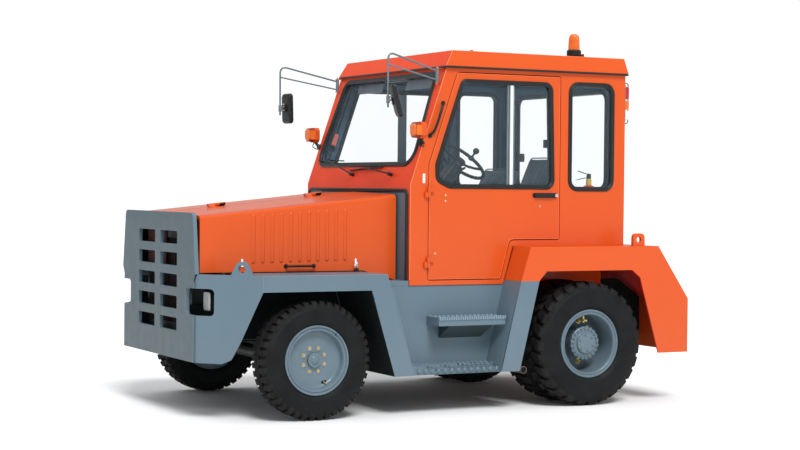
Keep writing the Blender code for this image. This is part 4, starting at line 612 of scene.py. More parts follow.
for side, sign in SIDES:
    body = f"front_wheel_{side}"
    centre = vec(FRONT_AXLE_X, sign * FRONT_WHEEL_Y, FRONT_Z)
    tyre(f"tyre_front_{side}", body, f"front_tyre_{side}", centre, FRONT_SIZES, lug_front())
    mesh = bmesh.new()
    outside = [(0.0, 0.066), (0.014, 0.065), (0.025, 0.0605), (0.032, 0.053), (0.035, 0.044), (0.0365, 0.0385),
               (0.04, 0.0365), (0.052, 0.0362), (0.058, 0.0352), (0.15, 0.035), (0.16, 0.0362), (0.17, 0.04),
               (0.176, 0.047), (0.1785, 0.056), (0.18, 0.07), (0.1835, 0.08), (0.188, 0.085), (0.1925, 0.0862),
               (0.1965, 0.0845), (0.1985, 0.0805), (0.2015, 0.08), (0.2035, 0.084), (0.2065, 0.088),
               (0.211, 0.0895), (0.2155, 0.0885), (0.218, 0.0855), (0.218, 0.0798)]
    inside = [(0.1917, 0.0795), (0.1917, -0.0795), (0.218, -0.0795), (0.218, -0.086), (0.208, -0.088), (0.182, -0.086),
              (0.178, -0.05), (0.172, 0.01), (0.16, 0.022), (0.07, 0.022), (0.07, -0.0245), (0.0458, -0.0245),
              (0.0458, 0.0546), (0.0, 0.0546)]
    lathe(mesh, [(r, sign * y) for r, y in outside + inside], 96, centre)
    wheel_nuts(mesh, centre, sign, 0.0352, 0.0765, 8, 0.017, 0.011, 1, pi / 8)
    for k in range(10):
        turn = 2 * pi * k / 10
        ends = [Vector((r * cos(turn + t), 0, r * sin(turn + t))) for r, t in
                ((0.0425, -0.2), (0.0425, 0.2), (0.048, 0.18), (0.048, -0.18))]
        skin(mesh, [[centre + p + vec(0, sign * y, 0) for p in ends] for y in (0.0355, 0.037)], index=2)
    notch = [(-0.051, -0.137), (-0.085, -0.128), (-0.092, -0.146), (-0.06, -0.161)]
    skin(mesh, [[centre + vec(x, sign * y, z) for x, z in rounded(notch, 0.006, 3)] for y in (0.0352, 0.0378)], index=2)
    rod(mesh, centre + vec(-0.07, sign * 0.037, -0.14), centre + vec(-0.076, sign * 0.058, -0.149), 0.0045, 12, 3)
    split = [(-r * cos(a), r * sin(a)) for r, a in ((0.194, 0.898), (0.217, 0.898), (0.217, 0.892), (0.194, 0.892))]
    skin(mesh, [[centre + vec(x, sign * y, z) for x, z in split] for y in (0.08, 0.0899)], index=2)
    finished(f"rim_front_{side}", mesh, (RIM, ZINC, UNDERSEAL, BRASS), body, 0, 32,
             (f"front_rim_{side}",), centre)

    body = f"rear_wheels_{side}"
    hub = vec(REAR_AXLE_X, sign * DUAL_Y, REAR_Z)
    for place, offset in (("outer", TWIN_HALF), ("inner", -TWIN_HALF)):
        centre = hub + vec(0, sign * offset, 0)
        tyre(f"tyre_rear_{place}_{side}", body, f"rear_tyre_{place}_{side}", centre, REAR_SIZES, lug_rear())
    mesh = bmesh.new()
    outer = TWIN_HALF
    lip = [(0.1925, 0.064), (0.193, 0.078), (0.1965, 0.0855), (0.201, 0.0885), (0.2055, 0.087), (0.208, 0.0825),
           (0.2115, 0.082), (0.214, 0.086), (0.2175, 0.091), (0.2225, 0.0925), (0.2265, 0.091), (0.229, 0.0875),
           (0.229, 0.0835)]
    dish = [(0.0, 0.189), (0.06, 0.189), (0.0665, 0.188), (0.069, 0.185), (0.07, 0.1735), (0.072, 0.172),
            (0.106, 0.1712), (0.109, 0.169), (0.1095, 0.15), (0.106, 0.146), (0.097, 0.144), (0.096, 0.04),
            (0.101, 0.03), (0.108, 0.024), (0.125, 0.02), (0.16, 0.018), (0.178, 0.021), (0.188, 0.032),
            (0.192, 0.05), (0.1922, outer + 0.03)]
    rim = [(r, outer + y) for r, y in lip]
    back = [(0.2025, outer + 0.0835), (0.2025, outer - 0.0835), (0.229, outer - 0.0835), (0.229, outer - 0.09),
            (0.204, outer - 0.092), (0.204, -outer + 0.092), (0.229, -outer + 0.09), (0.229, -outer + 0.0835),
            (0.2025, -outer + 0.0835), (0.2025, -outer - 0.0835), (0.229, -outer - 0.0835), (0.229, -outer - 0.09),
            (0.193, -outer - 0.092), (0.193, -0.01), (0.105, -0.01), (0.105, -0.05), (0.0506, -0.05),
            (0.0506, 0.0494), (0.0, 0.0494)]
    lathe(mesh, [(r, sign * y) for r, y in dish + rim + back], 96, hub)
    wheel_nuts(mesh, hub, sign, 0.1712, 0.0945, 20, 0.0125, 0.0085, 0)
    wheel_nuts(mesh, hub, sign, 0.189, 0.054, 6, 0.01, 0.006, 0, 0.35)
    for k in range(20):
        turn = 2 * pi * (k + 0.5) / 20
        spot = hub + Vector((0.1075 * cos(turn), sign * 0.158, 0.1075 * sin(turn)))
        block(mesh, spot - vec(0.006, 0.011, 0.006), spot + vec(0.006, 0.011, 0.006))
    wheel_nuts(mesh, hub, sign, 0.0185, 0.145, 10, 0.026, 0.018, 1)
    stem = hub + vec(-0.008, sign * 0.05, 0.15)
    tube(mesh, bend([stem, stem + vec(0, sign * 0.055, 0.004), stem + vec(0.004, sign * 0.1, -0.004)], 0.02, 4),
         0.0055, 12, index=1)
    rod(mesh, stem + vec(0.002, sign * 0.092, -0.014), stem + vec(0.004, sign * 0.092, 0.03), 0.0085, 16, 1)
    rod(mesh, stem + vec(-0.006, sign * 0.118, 0.0), stem + vec(0.018, sign * 0.118, 0.004), 0.0075, 12, 1)
    finished(f"rim_rear_{side}", mesh, (RIM, BRASS), body, 0, 32, (f"rear_rim_{side}",), hub)


# Hood: pressed louvres, handle, catches


def louvre(mesh, x, low_z, high_z, sign):
    """One pressed louvre: a long rounded swelling."""
    half, rise, rows = 0.0135, 0.0085, 10
    stations = [(low_z + half * (1 - cos(pi / 2 * k / 6)), sin(pi / 2 * k / 6)) for k in range(7)]
    stations += [(high_z - half * (1 - cos(pi / 2 * k / 6)), sin(pi / 2 * k / 6)) for k in range(6, -1, -1)]
    rings = []
    for z, wide in stations:
        ring = []
        for j in range(rows + 1):
            t = j / rows
            u = 1 - 2 * t
            height = rise * max(0.02, wide) * sin(pi * t) ** 0.7
            ring.append((x + half * max(0.03, wide) * u, sign * (HOOD_Y - 0.0008 + height), z))
        rings.append(ring)
    skin(mesh, rings)


LOUVRES, LOUVRE_FRONT_X, LOUVRE_REAR_X, CATCH_X = 11, 1.425, 0.786, 0.711
for side, sign in SIDES:
    body = f"hood_{side}"
    mesh = bmesh.new()
    for k in range(LOUVRES):
        t = k / (LOUVRES - 1)
        x = LOUVRE_FRONT_X + (LOUVRE_REAR_X - LOUVRE_FRONT_X) * t
        louvre(mesh, x, 0.962 + 0.012 * t, 1.27 + 0.04 * t, sign)
    finished(f"louvres_{side}", mesh, ORANGE, body, smooth=50)
    mesh = bmesh.new()
    y = sign * HOOD_Y
    front, rear, z = 1.202, 1.007, 0.944
    tube(mesh, bend([(front, y, z), (front, y + sign * 0.03, z), (rear, y + sign * 0.03, z), (rear, y, z)], 0.016),
         0.0075, 12)
    for x in (front, rear):
        rod(mesh, (x, y - sign * 0.001, z), (x, y + sign * 0.003, z), 0.014, 20)
    finished(f"hood_handle_{side}", mesh, PLASTIC, body)
    mesh = bmesh.new()
    for x, z in ((CATCH_X, 0.957), (1.504, 0.962)):
        prism(mesh, rounded([(x - 0.011, z - 0.02), (x + 0.011, z - 0.02), (x + 0.006, z + 0.032),
                             (x - 0.006, z + 0.032)], 0.004, 3),
              "y", y - sign * 0.001, y + sign * 0.008)
        rod(mesh, (x, y + sign * 0.006, z + 0.004), (x, y + sign * 0.017, z + 0.004), 0.006, 16)
        rod(mesh, (x, y + sign * 0.015, z + 0.004), (x, y + sign * 0.018, z + 0.004), 0.009, 16)
    finished(f"hood_catch_{side}", mesh, CHROME, body, 0.0008)
    mesh = bmesh.new()
    x = CATCH_X
    block(mesh, (x - 0.022, y - sign * 0.002, 0.9035), (x + 0.022, y + sign * 0.034, 0.9075), 1)
    block(mesh, (x - 0.012, y + sign * 0.012, 0.907), (x + 0.012, y + sign * 0.03, 0.927), 1)
    low, high = (y + sign * 0.021, 0.918), (y + sign * 0.0165, 0.966)
    tube(mesh, bend([(x - 0.01, *low), (x - 0.01, *high), (x + 0.01, *high), (x + 0.01, *low)], 0.007, 4), 0.0024, 8)
    finished(f"hood_bail_{side}", mesh, (CHROME, PLASTIC), "vehicle", 0.0006)

# Cowl behind the hood: a grey panel in a rubber seal, and the shelf down to the step box

COWL_Y, COWL_TOP = 0.735, 1.428
mesh = bmesh.new()
prism(mesh, rounded([(-COWL_Y, 0.8), (COWL_Y, 0.8), (COWL_Y, COWL_TOP), (-COWL_Y, COWL_TOP)], [0, 0, 0.04, 0.04]), "x",
      CAB_FRONT_X + 0.0006, CAB_FRONT_X + 0.0045)
for side, sign in SIDES:
    shelf = [(CAB_FRONT_X + 0.001, 0.8135), (CAB_FRONT_X + 0.001, 0.846), (0.6435, 0.846), (0.63, 0.8135)]
    prism(mesh, shelf, "y", sign * 0.6, sign * 0.7648)
finished("cowl_panel", mesh, GREY, "vehicle", 0.0012)
mesh = bmesh.new()
corners = [(-COWL_Y, 0.83), (-COWL_Y, COWL_TOP), (COWL_Y, COWL_TOP), (COWL_Y, 0.83)]
path = [(CAB_FRONT_X + 0.0005, y, z) for y, z in corners]
SEAL_SECTION = [(-0.015, -0.01), (-0.0155, 0.002), (-0.012, 0.0075), (-0.006, 0.0098), (-0.002, 0.0088), (0, 0.0065),
                (0.002, 0.0088), (0.006, 0.0098), (0.012, 0.0075), (0.0155, 0.002), (0.015, -0.01)]
sweep(mesh, bend(path, 0.035), [(a * 0.85, max(b, 0.0) * 1.35) for a, b in SEAL_SECTION], up=(1, 0, 0))
finished("cowl_seal", mesh, SEAL, "vehicle")

# Window seals


def grown(outline, distance):
    """The outline with each point moved away from its middle side by side."""
    points = [Vector(point) for point in outline]
    area = sum(a.x * b.y - b.x * a.y for a, b in zip(points, points[1:] + points[:1]))
    turn = 1 if area > 0 else -1
    moved = []
    for i, here in enumerate(points):
        first = (here - points[i - 1]).normalized()
        second = (points[(i + 1) % len(points)] - here).normalized()
        one, other = vec(first.y, -first.x) * turn, vec(second.y, -second.x) * turn
        moved.append(tuple(here + (one + other) * distance / (1 + one.dot(other))))
    return moved


DOOR_WINDOW = rounded([(DOOR_FRONT_X - 0.152, 1.458), (DOOR_FRONT_X - 0.06, 1.5), (DOOR_FRONT_X - 0.058, 1.6),
                       (DOOR_FRONT_X - 0.247, 2.15), (DOOR_REAR_X + 0.073, 2.15), (DOOR_REAR_X + 0.052, 1.458)],
                      [0.08, 0.05, 0.05, 0.035, 0.05, 0.05])
SIDE_WINDOW = rounded(rectangle((CAB_REAR_X + 0.103, 1.448), (CAB_REAR_X + 0.451, 2.16)), 0.06)
REAR_WINDOW = rounded(rectangle((-0.6, 1.45), (0.6, 2.13)), 0.07)
SEAL_IN = -0.001
WINDSCREEN = rounded([(-0.715, 1.6), (0.715, 1.6), (0.66, 2.2), (-0.66, 2.2)], [0.1, 0.1, 0.06, 0.06])


def on_lean(y, z, ahead=0.0):
    return Vector((CAB_FRONT_X - (z - FOLD_Z) * LEAN, y, z)) + LEAN_NORMAL * ahead


for side, sign in SIDES:
    for name, outline, body in (("door", DOOR_WINDOW, f"door_{side}"), ("side", SIDE_WINDOW, "vehicle")):
        mesh = bmesh.new()
        for y, out in ((CAB_Y, 1), (CAB_Y - CAB_WALL, -1)):
            path = [(a, sign * y, b) for a, b in grown(outline, SEAL_IN)]
            sweep(mesh, path, SEAL_SECTION, closed=True, up=(0, sign * out, 0))
        finished(f"{name}_window_seal_{side}", mesh, SEAL, body)
mesh = bmesh.new()
sweep(mesh, [on_lean(a, b) for a, b in grown(WINDSCREEN, SEAL_IN)], [(a * 1.1, b) for a, b in SEAL_SECTION],
      closed=True,
      up=LEAN_NORMAL)
sweep(mesh, [on_lean(a, b, -0.034) for a, b in grown(WINDSCREEN, SEAL_IN)], SEAL_SECTION, closed=True, up=-LEAN_NORMAL)
finished("windscreen_seal", mesh, SEAL, "vehicle")
mesh = bmesh.new()
for x, out in ((CAB_REAR_X, -1), (CAB_REAR_X + CAB_WALL, 1)):
    sweep(mesh, [(x, a, b) for a, b in grown(REAR_WINDOW, SEAL_IN)], SEAL_SECTION, closed=True, up=(out, 0, 0))
finished("rear_window_seal", mesh, SEAL, "vehicle")

# Gutter strip under the roof cap

mesh = bmesh.new()
lip = rounded(rectangle((CAB_REAR_X - 0.0155, -CAB_Y - 0.0175), (0.1445, CAB_Y + 0.0175)), 0.012, 3)
sweep(mesh, [(x, y, 2.2385) for x, y in lip], [(-0.004, -0.008), (-0.004, 0.006), (0.0035, 0.006), (0.0035, -0.008)],
      closed=True, up=(0, 0, 1))
finished("gutter_strip", mesh, SEAL, "vehicle", bevel=0.001)

# Doors: sliding pane, handle, screws and inner panel

for side, sign in SIDES:
    body = f"door_{side}"
    y = sign * CAB_Y
    mesh = bmesh.new()
    block(mesh, (-0.38, y - sign * 0.0095, 1.462), (-0.358, y + sign * 0.002, 2.146))
    block(mesh, (-0.402, y - sign * 0.0185, 1.462), (-0.34, y - sign * 0.0165, 2.146), 1)
    block(mesh, (-0.348, y - sign * 0.0095, 1.458), (-0.336, y - sign * 0.003, 2.148), 1)
    finished(f"door_divider_{side}", mesh, (WHITE, TUBE), body, bevel=0.001)
    mesh = bmesh.new()
    plate = rounded(rectangle((-0.735, 1.388), (-0.54, 1.42)), 0.012, 4)
    prism(mesh, plate, "y", y - sign * 0.001, y + sign * 0.005)
    lever = rounded([(-0.7, 1.393), (-0.548, 1.396), (-0.548, 1.412), (-0.7, 1.416)], 0.006, 4)
    prism(mesh, lever, "y", y + sign * 0.009, y + sign * 0.021)
    rod(mesh, (-0.695, y, 1.4045), (-0.695, y + sign * 0.018, 1.4045), 0.012, 20)
    rod(mesh, (-0.722, y + sign * 0.004, 1.404), (-0.722, y + sign * 0.016, 1.404), 0.012, 24, 1)
    block(mesh, (-0.7228, y + sign * 0.0155, 1.399), (-0.7212, y + sign * 0.0164, 1.409))
    finished(f"door_handle_{side}", mesh, (PLASTIC, CHROME), body, 0.0012)
    mesh = bmesh.new()
    head = [(0, 0.0), (0.0075, 0.0), (0.007, 0.002), (0.004, 0.0038), (0, 0.0043)]
    spots = ((0.13, 1.4), (0.13, 1.362), (0.205, 1.02), (-0.6, 1.33))
    for x, z in spots[:4 if sign > 0 else 2]:
        lathe(mesh, [(r, sign * d) for r, d in head], 20, (x, y, z))
    finished(f"door_screws_{side}", mesh, ZINC, body)
    mesh = bmesh.new()
    inner = y - sign * CAB_WALL
    panel = rounded([(0.17, 0.93), (0.17, 1.42), (-0.7, 1.42), (-0.7, 1.15), (-0.3, 1.15), (-0.25, 0.93)], 0.03, 4)
    prism(mesh, panel, "y", inner - sign * 0.006, inner + sign * 0.0005)
    block(mesh, (-0.62, inner - sign * 0.02, 1.385), (-0.52, inner - sign * 0.005, 1.405), 1)
    tube(mesh, bend([(-0.05, inner, 1.36), (-0.05, inner - sign * 0.04, 1.36), (-0.3, inner - sign * 0.04, 1.36),
                     (-0.3, inner, 1.36)],
                    0.02), 0.009, 12, index=1)
    finished(f"door_panel_{side}", mesh, (DASH, PLASTIC), body, bevel=0.002)
    mesh = bmesh.new()
    prism(mesh, rounded(rectangle((0.286, 1.478), (0.304, 1.54)), 0.003, 3), "y", y - sign * 0.0005, y + sign * 0.003)
    finished(f"reflector_{side}", mesh, WHITE, "vehicle", bevel=0.0008)
    mesh = bmesh.new()
    points = [(0.158, y - sign * 0.001, 2.0), (0.17, y + sign * 0.022, 1.985), (0.19, y + sign * 0.03, 1.94),
              (0.207, y + sign * 0.03, 1.885), (0.233, y + sign * 0.024, 1.815), (0.254, y - sign * 0.001, 1.786)]
    tube(mesh, bend(points, 0.03, 5), 0.0085, 14)
    for x, z in ((0.158, 2.0), (0.254, 1.786)):
        rod(mesh, (x, y - sign * 0.001, z), (x, y + sign * 0.004, z), 0.015, 20)
    finished(f"grab_handle_{side}", mesh, PLASTIC, "vehicle")

# Wipers: pivot, arm and blade twice

for name, pivot, tip, blade in (("right", (-0.08, 1.53), (-0.5, 1.628), ((-0.694, 1.634), (-0.284, 1.626))),
                                ("left", (0.48, 1.53), (0.11, 1.57), ((-0.142, 1.56), (0.327, 1.58)))):
    mesh = bmesh.new()
    rod(mesh, on_lean(*pivot, -0.004), on_lean(*pivot, 0.03), 0.011, 20)
    rod(mesh, on_lean(*pivot, 0.028), on_lean(*pivot, 0.036), 0.015, 20, end_radius=0.009)
    tube(mesh,
         bend([on_lean(*pivot, 0.026), on_lean(pivot[0] * 0.6 + tip[0] * 0.4, pivot[1] * 0.6 + tip[1] * 0.4, 0.04),
                     on_lean(*tip, 0.026)], 0.05), 0.0055, 10)
    middle = ((blade[0][0] + blade[1][0]) / 2, (blade[0][1] + blade[1][1]) / 2)
    quarters = [tuple(a + (b - a) * t for a, b in zip(*blade)) for t in (0.14, 0.38, 0.62, 0.86)]
    tube(mesh, bend([on_lean(*quarters[0], 0.01), on_lean(*middle, 0.024), on_lean(*quarters[3], 0.01)], 0.08), 0.0035,
         8)
    tube(mesh, [on_lean(*p, h) for p, h in ((quarters[1], 0.012), (quarters[2], 0.012))], 0.003, 8)
    spine = [on_lean(*blade[0], 0.006), on_lean(*blade[1], 0.006)]
    sweep(mesh, spine,
          [(-0.004, 0.008), (0.004, 0.008), (0.004, 0.004), (0.0012, 0.0), (0.0008, -0.005), (-0.0008, -0.005),
                        (-0.0012, 0.0), (-0.004, 0.004)], up=LEAN_NORMAL)
    finished(f"wiper_{name}", mesh, PLASTIC, "vehicle")

# Mirrors, turn lamps, rear lamps and headlamps


def stack(mesh, outline, middle, steps, index=0):
    """A form along X: the outline of (y, z) points scaled about its middle, at (x, scale) steps."""
    middle = Vector(middle)
    skin(mesh, [[(x, *(middle + (Vector(p) - middle) * scale)) for p in outline] for x, scale in steps], index=index)


for side, sign in SIDES:
    mesh = bmesh.new()
    foot = Vector((0.394 - (2.18 - FOLD_Z) * LEAN + 0.032, sign * 0.735, 2.18))
    rod(mesh, foot - vec(0, 0, 0.046), foot + vec(0, 0, 0.046), 0.0115, 16)
    for z in (-0.052, 0.052):
        rod(mesh, foot + vec(0, 0, z - 0.005), foot + vec(0, 0, z + 0.005), 0.0085, 6, 1)
        shelf = [(foot.x - 0.06, foot.y - 0.013), (foot.x + 0.012, foot.y - 0.013), (foot.x + 0.012, foot.y + 0.013),
                 (foot.x - 0.06, foot.y + 0.013)]
        prism(mesh, shelf, "z", foot.z + z * 0.88 - 0.002, foot.z + z * 0.88 + 0.002, 2)
    outer = vec(0.594, sign * 0.83, 0)
    top = bend([foot + vec(0, 0, 0.03), outer + vec(0.002, 0, 2.312), outer + vec(0, 0, 1.958)], 0.055, 8)
    tube(mesh, top, 0.0065, 12)
    tube(mesh, [foot - vec(0, 0, 0.028), outer + vec(0, 0, 2.232)], 0.0055, 12)
    rod(mesh, outer + vec(0, 0, 1.985), outer + vec(0, 0, 2.03), 0.012, 16)
    finished(f"mirror_arm_{side}", mesh, (TUBE, ZINC, ORANGE), "vehicle", smooth=45)
    mesh = bmesh.new()
    face = rounded(rectangle((-0.06, -0.108), (0.06, 0.108)), 0.024, 5)
    rings = []
    for depth, scale in ((-0.012, 0.97), (-0.008, 1.0), (0.006, 1.0), (0.016, 0.93), (0.022, 0.74)):
        rings.append([(depth, y * scale, z * scale) for y, z in face])
    skin(mesh, rings)
    skin(mesh, [[(d, y * 0.92, z * 0.94) for y, z in face] for d in (-0.0135, -0.0115)], index=1)
    block(mesh, (0.02, -0.014, -0.024), (0.03, 0.014, 0.024))
    rod(mesh, (0.028, 0, 0.012), (0.056, 0, 0.012), 0.0065, 12, 3)
    for z in (-0.012, 0.03):
        rod(mesh, (0.029, 0, z), (0.0335, 0, z), 0.0065, 6, 2)
        block(mesh, (0.033, -0.011, z - 0.002), (0.039, 0.011, z + 0.002), 2)
    spin, tip, gap = (-19, 14, (-0.045, 0.03, 2.001)) if sign > 0 else (6, 2, (-0.059, 0.004, 2.008))
    turn = Matrix.Rotation(radians(spin), 4, "Z") @ Matrix.Rotation(radians(tip), 4, "Y")
    hold = outer + Vector(gap)
    mesh.transform(Matrix.Translation(hold) @ turn)
    finished(f"mirror_head_{side}", mesh, (PLASTIC, MIRROR, ZINC, TUBE), "vehicle", 0.0015,
             stands_for=(f"mirror_{side}",))

    mesh = bmesh.new()
    y, z = sign * 0.795, 1.82
    shape = [(y - 0.047, z - 0.034), (y - 0.027, z - 0.054), (y + 0.027, z - 0.054), (y + 0.047, z - 0.034),
             (y + 0.047, z + 0.034), (y + 0.027, z + 0.054), (y - 0.027, z + 0.054), (y - 0.047, z + 0.034)]
    stack(mesh, shape, (y, z), ((0.312, 0.94), (0.316, 0.98), (0.346, 1.0), (0.35, 0.98)))
    stack(mesh, shape, (y, z), ((0.349, 0.96), (0.372, 0.96), (0.388, 0.88)), 4)
    stack(mesh, shape, (y, z), ((0.372, 0.8), (0.39, 0.76), (0.398, 0.62)), 1)
    mesh.normal_update()
    for face in mesh.faces:
        if face.material_index == 4 and abs(face.normal.z) < 0.3 and abs(face.normal.x) < 0.6:
            face.material_index = 1
    for across in (-0.03, 0.03):
        rod(mesh, (0.394, y + across, z + 0.03), (0.3975, y + across, z + 0.03), 0.004, 12, 2)
    foot_y = sign * (CAB_Y - 0.01)
    rod(mesh, (0.33, sign * 0.79, z - 0.05), (0.312, foot_y, z - 0.085), 0.011, 16, 3)
    rod(mesh, (0.322, foot_y, z - 0.094), (0.296, foot_y, z - 0.076), 0.015, 20, 3)
    tube(mesh, bend([(0.335, sign * 0.8, z - 0.052), (0.35, sign * 0.8, z - 0.085), (0.315, sign * 0.782, z - 0.105),
                     (0.268, sign * 0.755, z - 0.1)], 0.03), 0.0035, 10, index=3)
    finished(f"turn_lamp_{side}_detail", mesh, (ORANGE, AMBER, ZINC, PLASTIC, AMBER_DEEP), "vehicle",
             0.001,
             stands_for=(f"turn_lamp_{side}",))

    # Rear lamps: three lenses in a grey loop

    mesh = bmesh.new()
    y0, y1 = sorted((sign * 0.704, sign * 0.763))
    block(mesh, (CAB_REAR_X - 0.01, y0, 1.915), (CAB_REAR_X - 0.0005, y1, 2.175), 4)
    for low, high, index in ((1.93, 1.995, 3), (2.0, 2.065, 2), (2.07, 2.16, 1)):
        shape = rounded(rectangle((y0 + 0.006, low), (y1 - 0.006, high)), 0.008, 3)
        steps = [(CAB_REAR_X + x, scale) for x, scale in ((-0.009, 1.0), (-0.038, 0.98), (-0.045, 0.88))]
        stack(mesh, shape, ((y0 + y1) / 2, (low + high) / 2), steps, index)
    loop = [(CAB_REAR_X - x, (y0 + y1) / 2, z) for x,
            z in ((0.004, 1.905), (0.052, 1.905), (0.052, 2.184), (0.004, 2.184))]
    tube(mesh, bend(loop, 0.022), 0.0042, 10, index=4)
    finished(f"rear_lamp_{side}_detail", mesh, (PLASTIC, RED_LENS, AMBER, WHITE, TUBE), "vehicle", 0.001,
             stands_for=(f"rear_lamp_{side}",))

    # Headlamps: black pocket, chrome dish and fluted glass

    mesh = bmesh.new()
    y0, y1 = sorted((sign * 0.545, sign * 0.675))
    ends = sorted((sign * 0.5, sign * 0.775))
    block(mesh, (1.672, ends[0], 0.64), (1.6745, ends[1], 0.83), 1)
    shape = rounded(rectangle((y0, 0.668), (y1, 0.796)), 0.022, 5)
    pocket = ((1.6745, 0.86), (1.7, 1.0), (1.73, 1.0), (1.733, 0.97), (1.733, 0.9), (1.712, 0.8))
    dish = ((1.7125, 0.86), (1.713, 0.6), (1.708, 0.3), (1.707, 0.1))
    glass = ((1.725, 0.88), (1.731, 0.88), (1.734, 0.8), (1.735, 0.5))
    for index, steps in enumerate((pocket, dish, glass), 1):
        stack(mesh, shape, ((y0 + y1) / 2, 0.732), steps, index)
    finished(f"headlamp_{side}_detail", mesh, (GREY, UNDERSEAL, CHROME, CLEAR), "vehicle", 0.0008,
             stands_for=(f"headlamp_{side}",))

# Beacon

mesh = bmesh.new()
spot = (CAB_REAR_X + 0.11, 0.3, 0)
top_z = 2.3495
for profile, index in (
    ([(0, 0), (0.036, 0), (0.036, 0.01), (0.024, 0.016), (0.022, 0.034), (0.046, 0.038), (0.0515, 0.044),
      (0.0515, 0.078), (0.047, 0.084), (0, 0.084)], 0),
    ([(0, 0.083), (0.0405, 0.083), (0.042, 0.09), (0.0405, 0.1), (0.0412, 0.11), (0.0395, 0.12), (0.0402, 0.13),
      (0.0385, 0.14),
      (0.0392, 0.15), (0.0375, 0.165), (0.0345, 0.18), (0.028, 0.192), (0.015, 0.1985), (0, 0.1995)], 1)):
    lathe(mesh, [(r, top_z + z) for r, z in profile], 48, spot, "z", index)
block(mesh, (spot[0] - 0.062, 0.262, top_z), (spot[0] - 0.058, 0.338, top_z + 0.058), 2)
block(mesh, (spot[0] - 0.062, 0.262, top_z), (spot[0] - 0.02, 0.338, top_z + 0.004), 2)
tube(mesh, bend([(spot[0] + 0.03, 0.3, top_z + 0.02), (spot[0] + 0.075, 0.315, top_z + 0.018),
                 (spot[0] + 0.115, 0.345, top_z + 0.006),
                 (spot[0] + 0.12, 0.4, top_z + 0.002)], 0.04), 0.006, 10, index=0)
finished("beacon_detail", mesh, (PLASTIC, AMBER, ORANGE), "vehicle", 0.0008, stands_for=("beacon",))

# Seats: crowned, sewn cushions on a black plinth


def pad(name, size, place, body, channels=(), round_by=0.035, crown=0.014, pull=0.012, taper=0.0, cuts=26, fill=0.8):
    """A cushion: a rounded form, crowned on top, its sides pulled in between the corners, sewn in channels.

    place turns and moves it: its local X runs across, Y along and Z out of the top. taper narrows the far end.
    """
    mesh = bmesh.new()
    bmesh.ops.create_cube(mesh, size=2)
    bmesh.ops.subdivide_edges(mesh, edges=mesh.edges, cuts=cuts, use_grid_fill=True)
    half = Vector(size) / 2
    for vertex in mesh.verts:
        u, v, w = vertex.co
        core = Vector(max(-1, min(1, c)) * max(0.001, h - round_by) for c, h in zip((u, v, w), half))
        flat = Vector(c * h for c, h in zip((u, v, w), half))
        spot = core + (flat - core).normalized() * round_by
        spot.x *= 1 - pull / half.x * (1 - v * v)
        spot.y *= 1 - pull / half.y * (1 - u * u)
        if w > 0:
            spot.z += crown * (1 - u * u) * (1 - v * v) * w
        for across in channels:
            near = math.exp(-(((spot.x - across) / 0.0045) ** 2))
            if w > 0.5 and abs(v) < 0.97:
                spot.z -= 0.0065 * near * min(1.0, (1 - abs(v)) * 9)
        seam = math.exp(-(((spot.z - half.z * 0.35) / 0.004) ** 2))
        if abs(w) < 0.9:
            spot.x *= 1 - 0.0035 / half.x * seam
            spot.y *= 1 - 0.0035 / half.y * seam
        spot.x *= 1 - taper * (spot.y / half.y + 1) / 2
        vertex.co = spot
    rim = rounded(rectangle((-half.x + 0.004, -half.y + 0.004), (half.x - 0.004, half.y - 0.004)), round_by * 0.9, 5)
    cord = []
    for x, y in rim:
        u, v = x / half.x, y / half.y
        x *= 1 - pull / half.x * (1 - v * v)
        y *= 1 - pull / half.y * (1 - u * u)
        cord.append((x * (1 - taper * (y / half.y + 1) / 2), y, half.z - round_by * 0.42))
    tube(mesh, cord, 0.0042, 8, closed=True)
    mesh.transform(place)
    return finished(name, mesh, VINYL, body, smooth=60), fill


def frame_of(middle, lean):
    """Local axes for a pad: X across the vehicle, Y up the pad, Z out of its face, leaning back by an angle."""
    out = Vector((cos(lean), 0, sin(lean)))
    up = Vector((-sin(lean), 0, cos(lean)))
    turn = Matrix((vec(0, 1, 0), up, out)).transposed().to_4x4()
    return Matrix.Translation(middle) @ turn


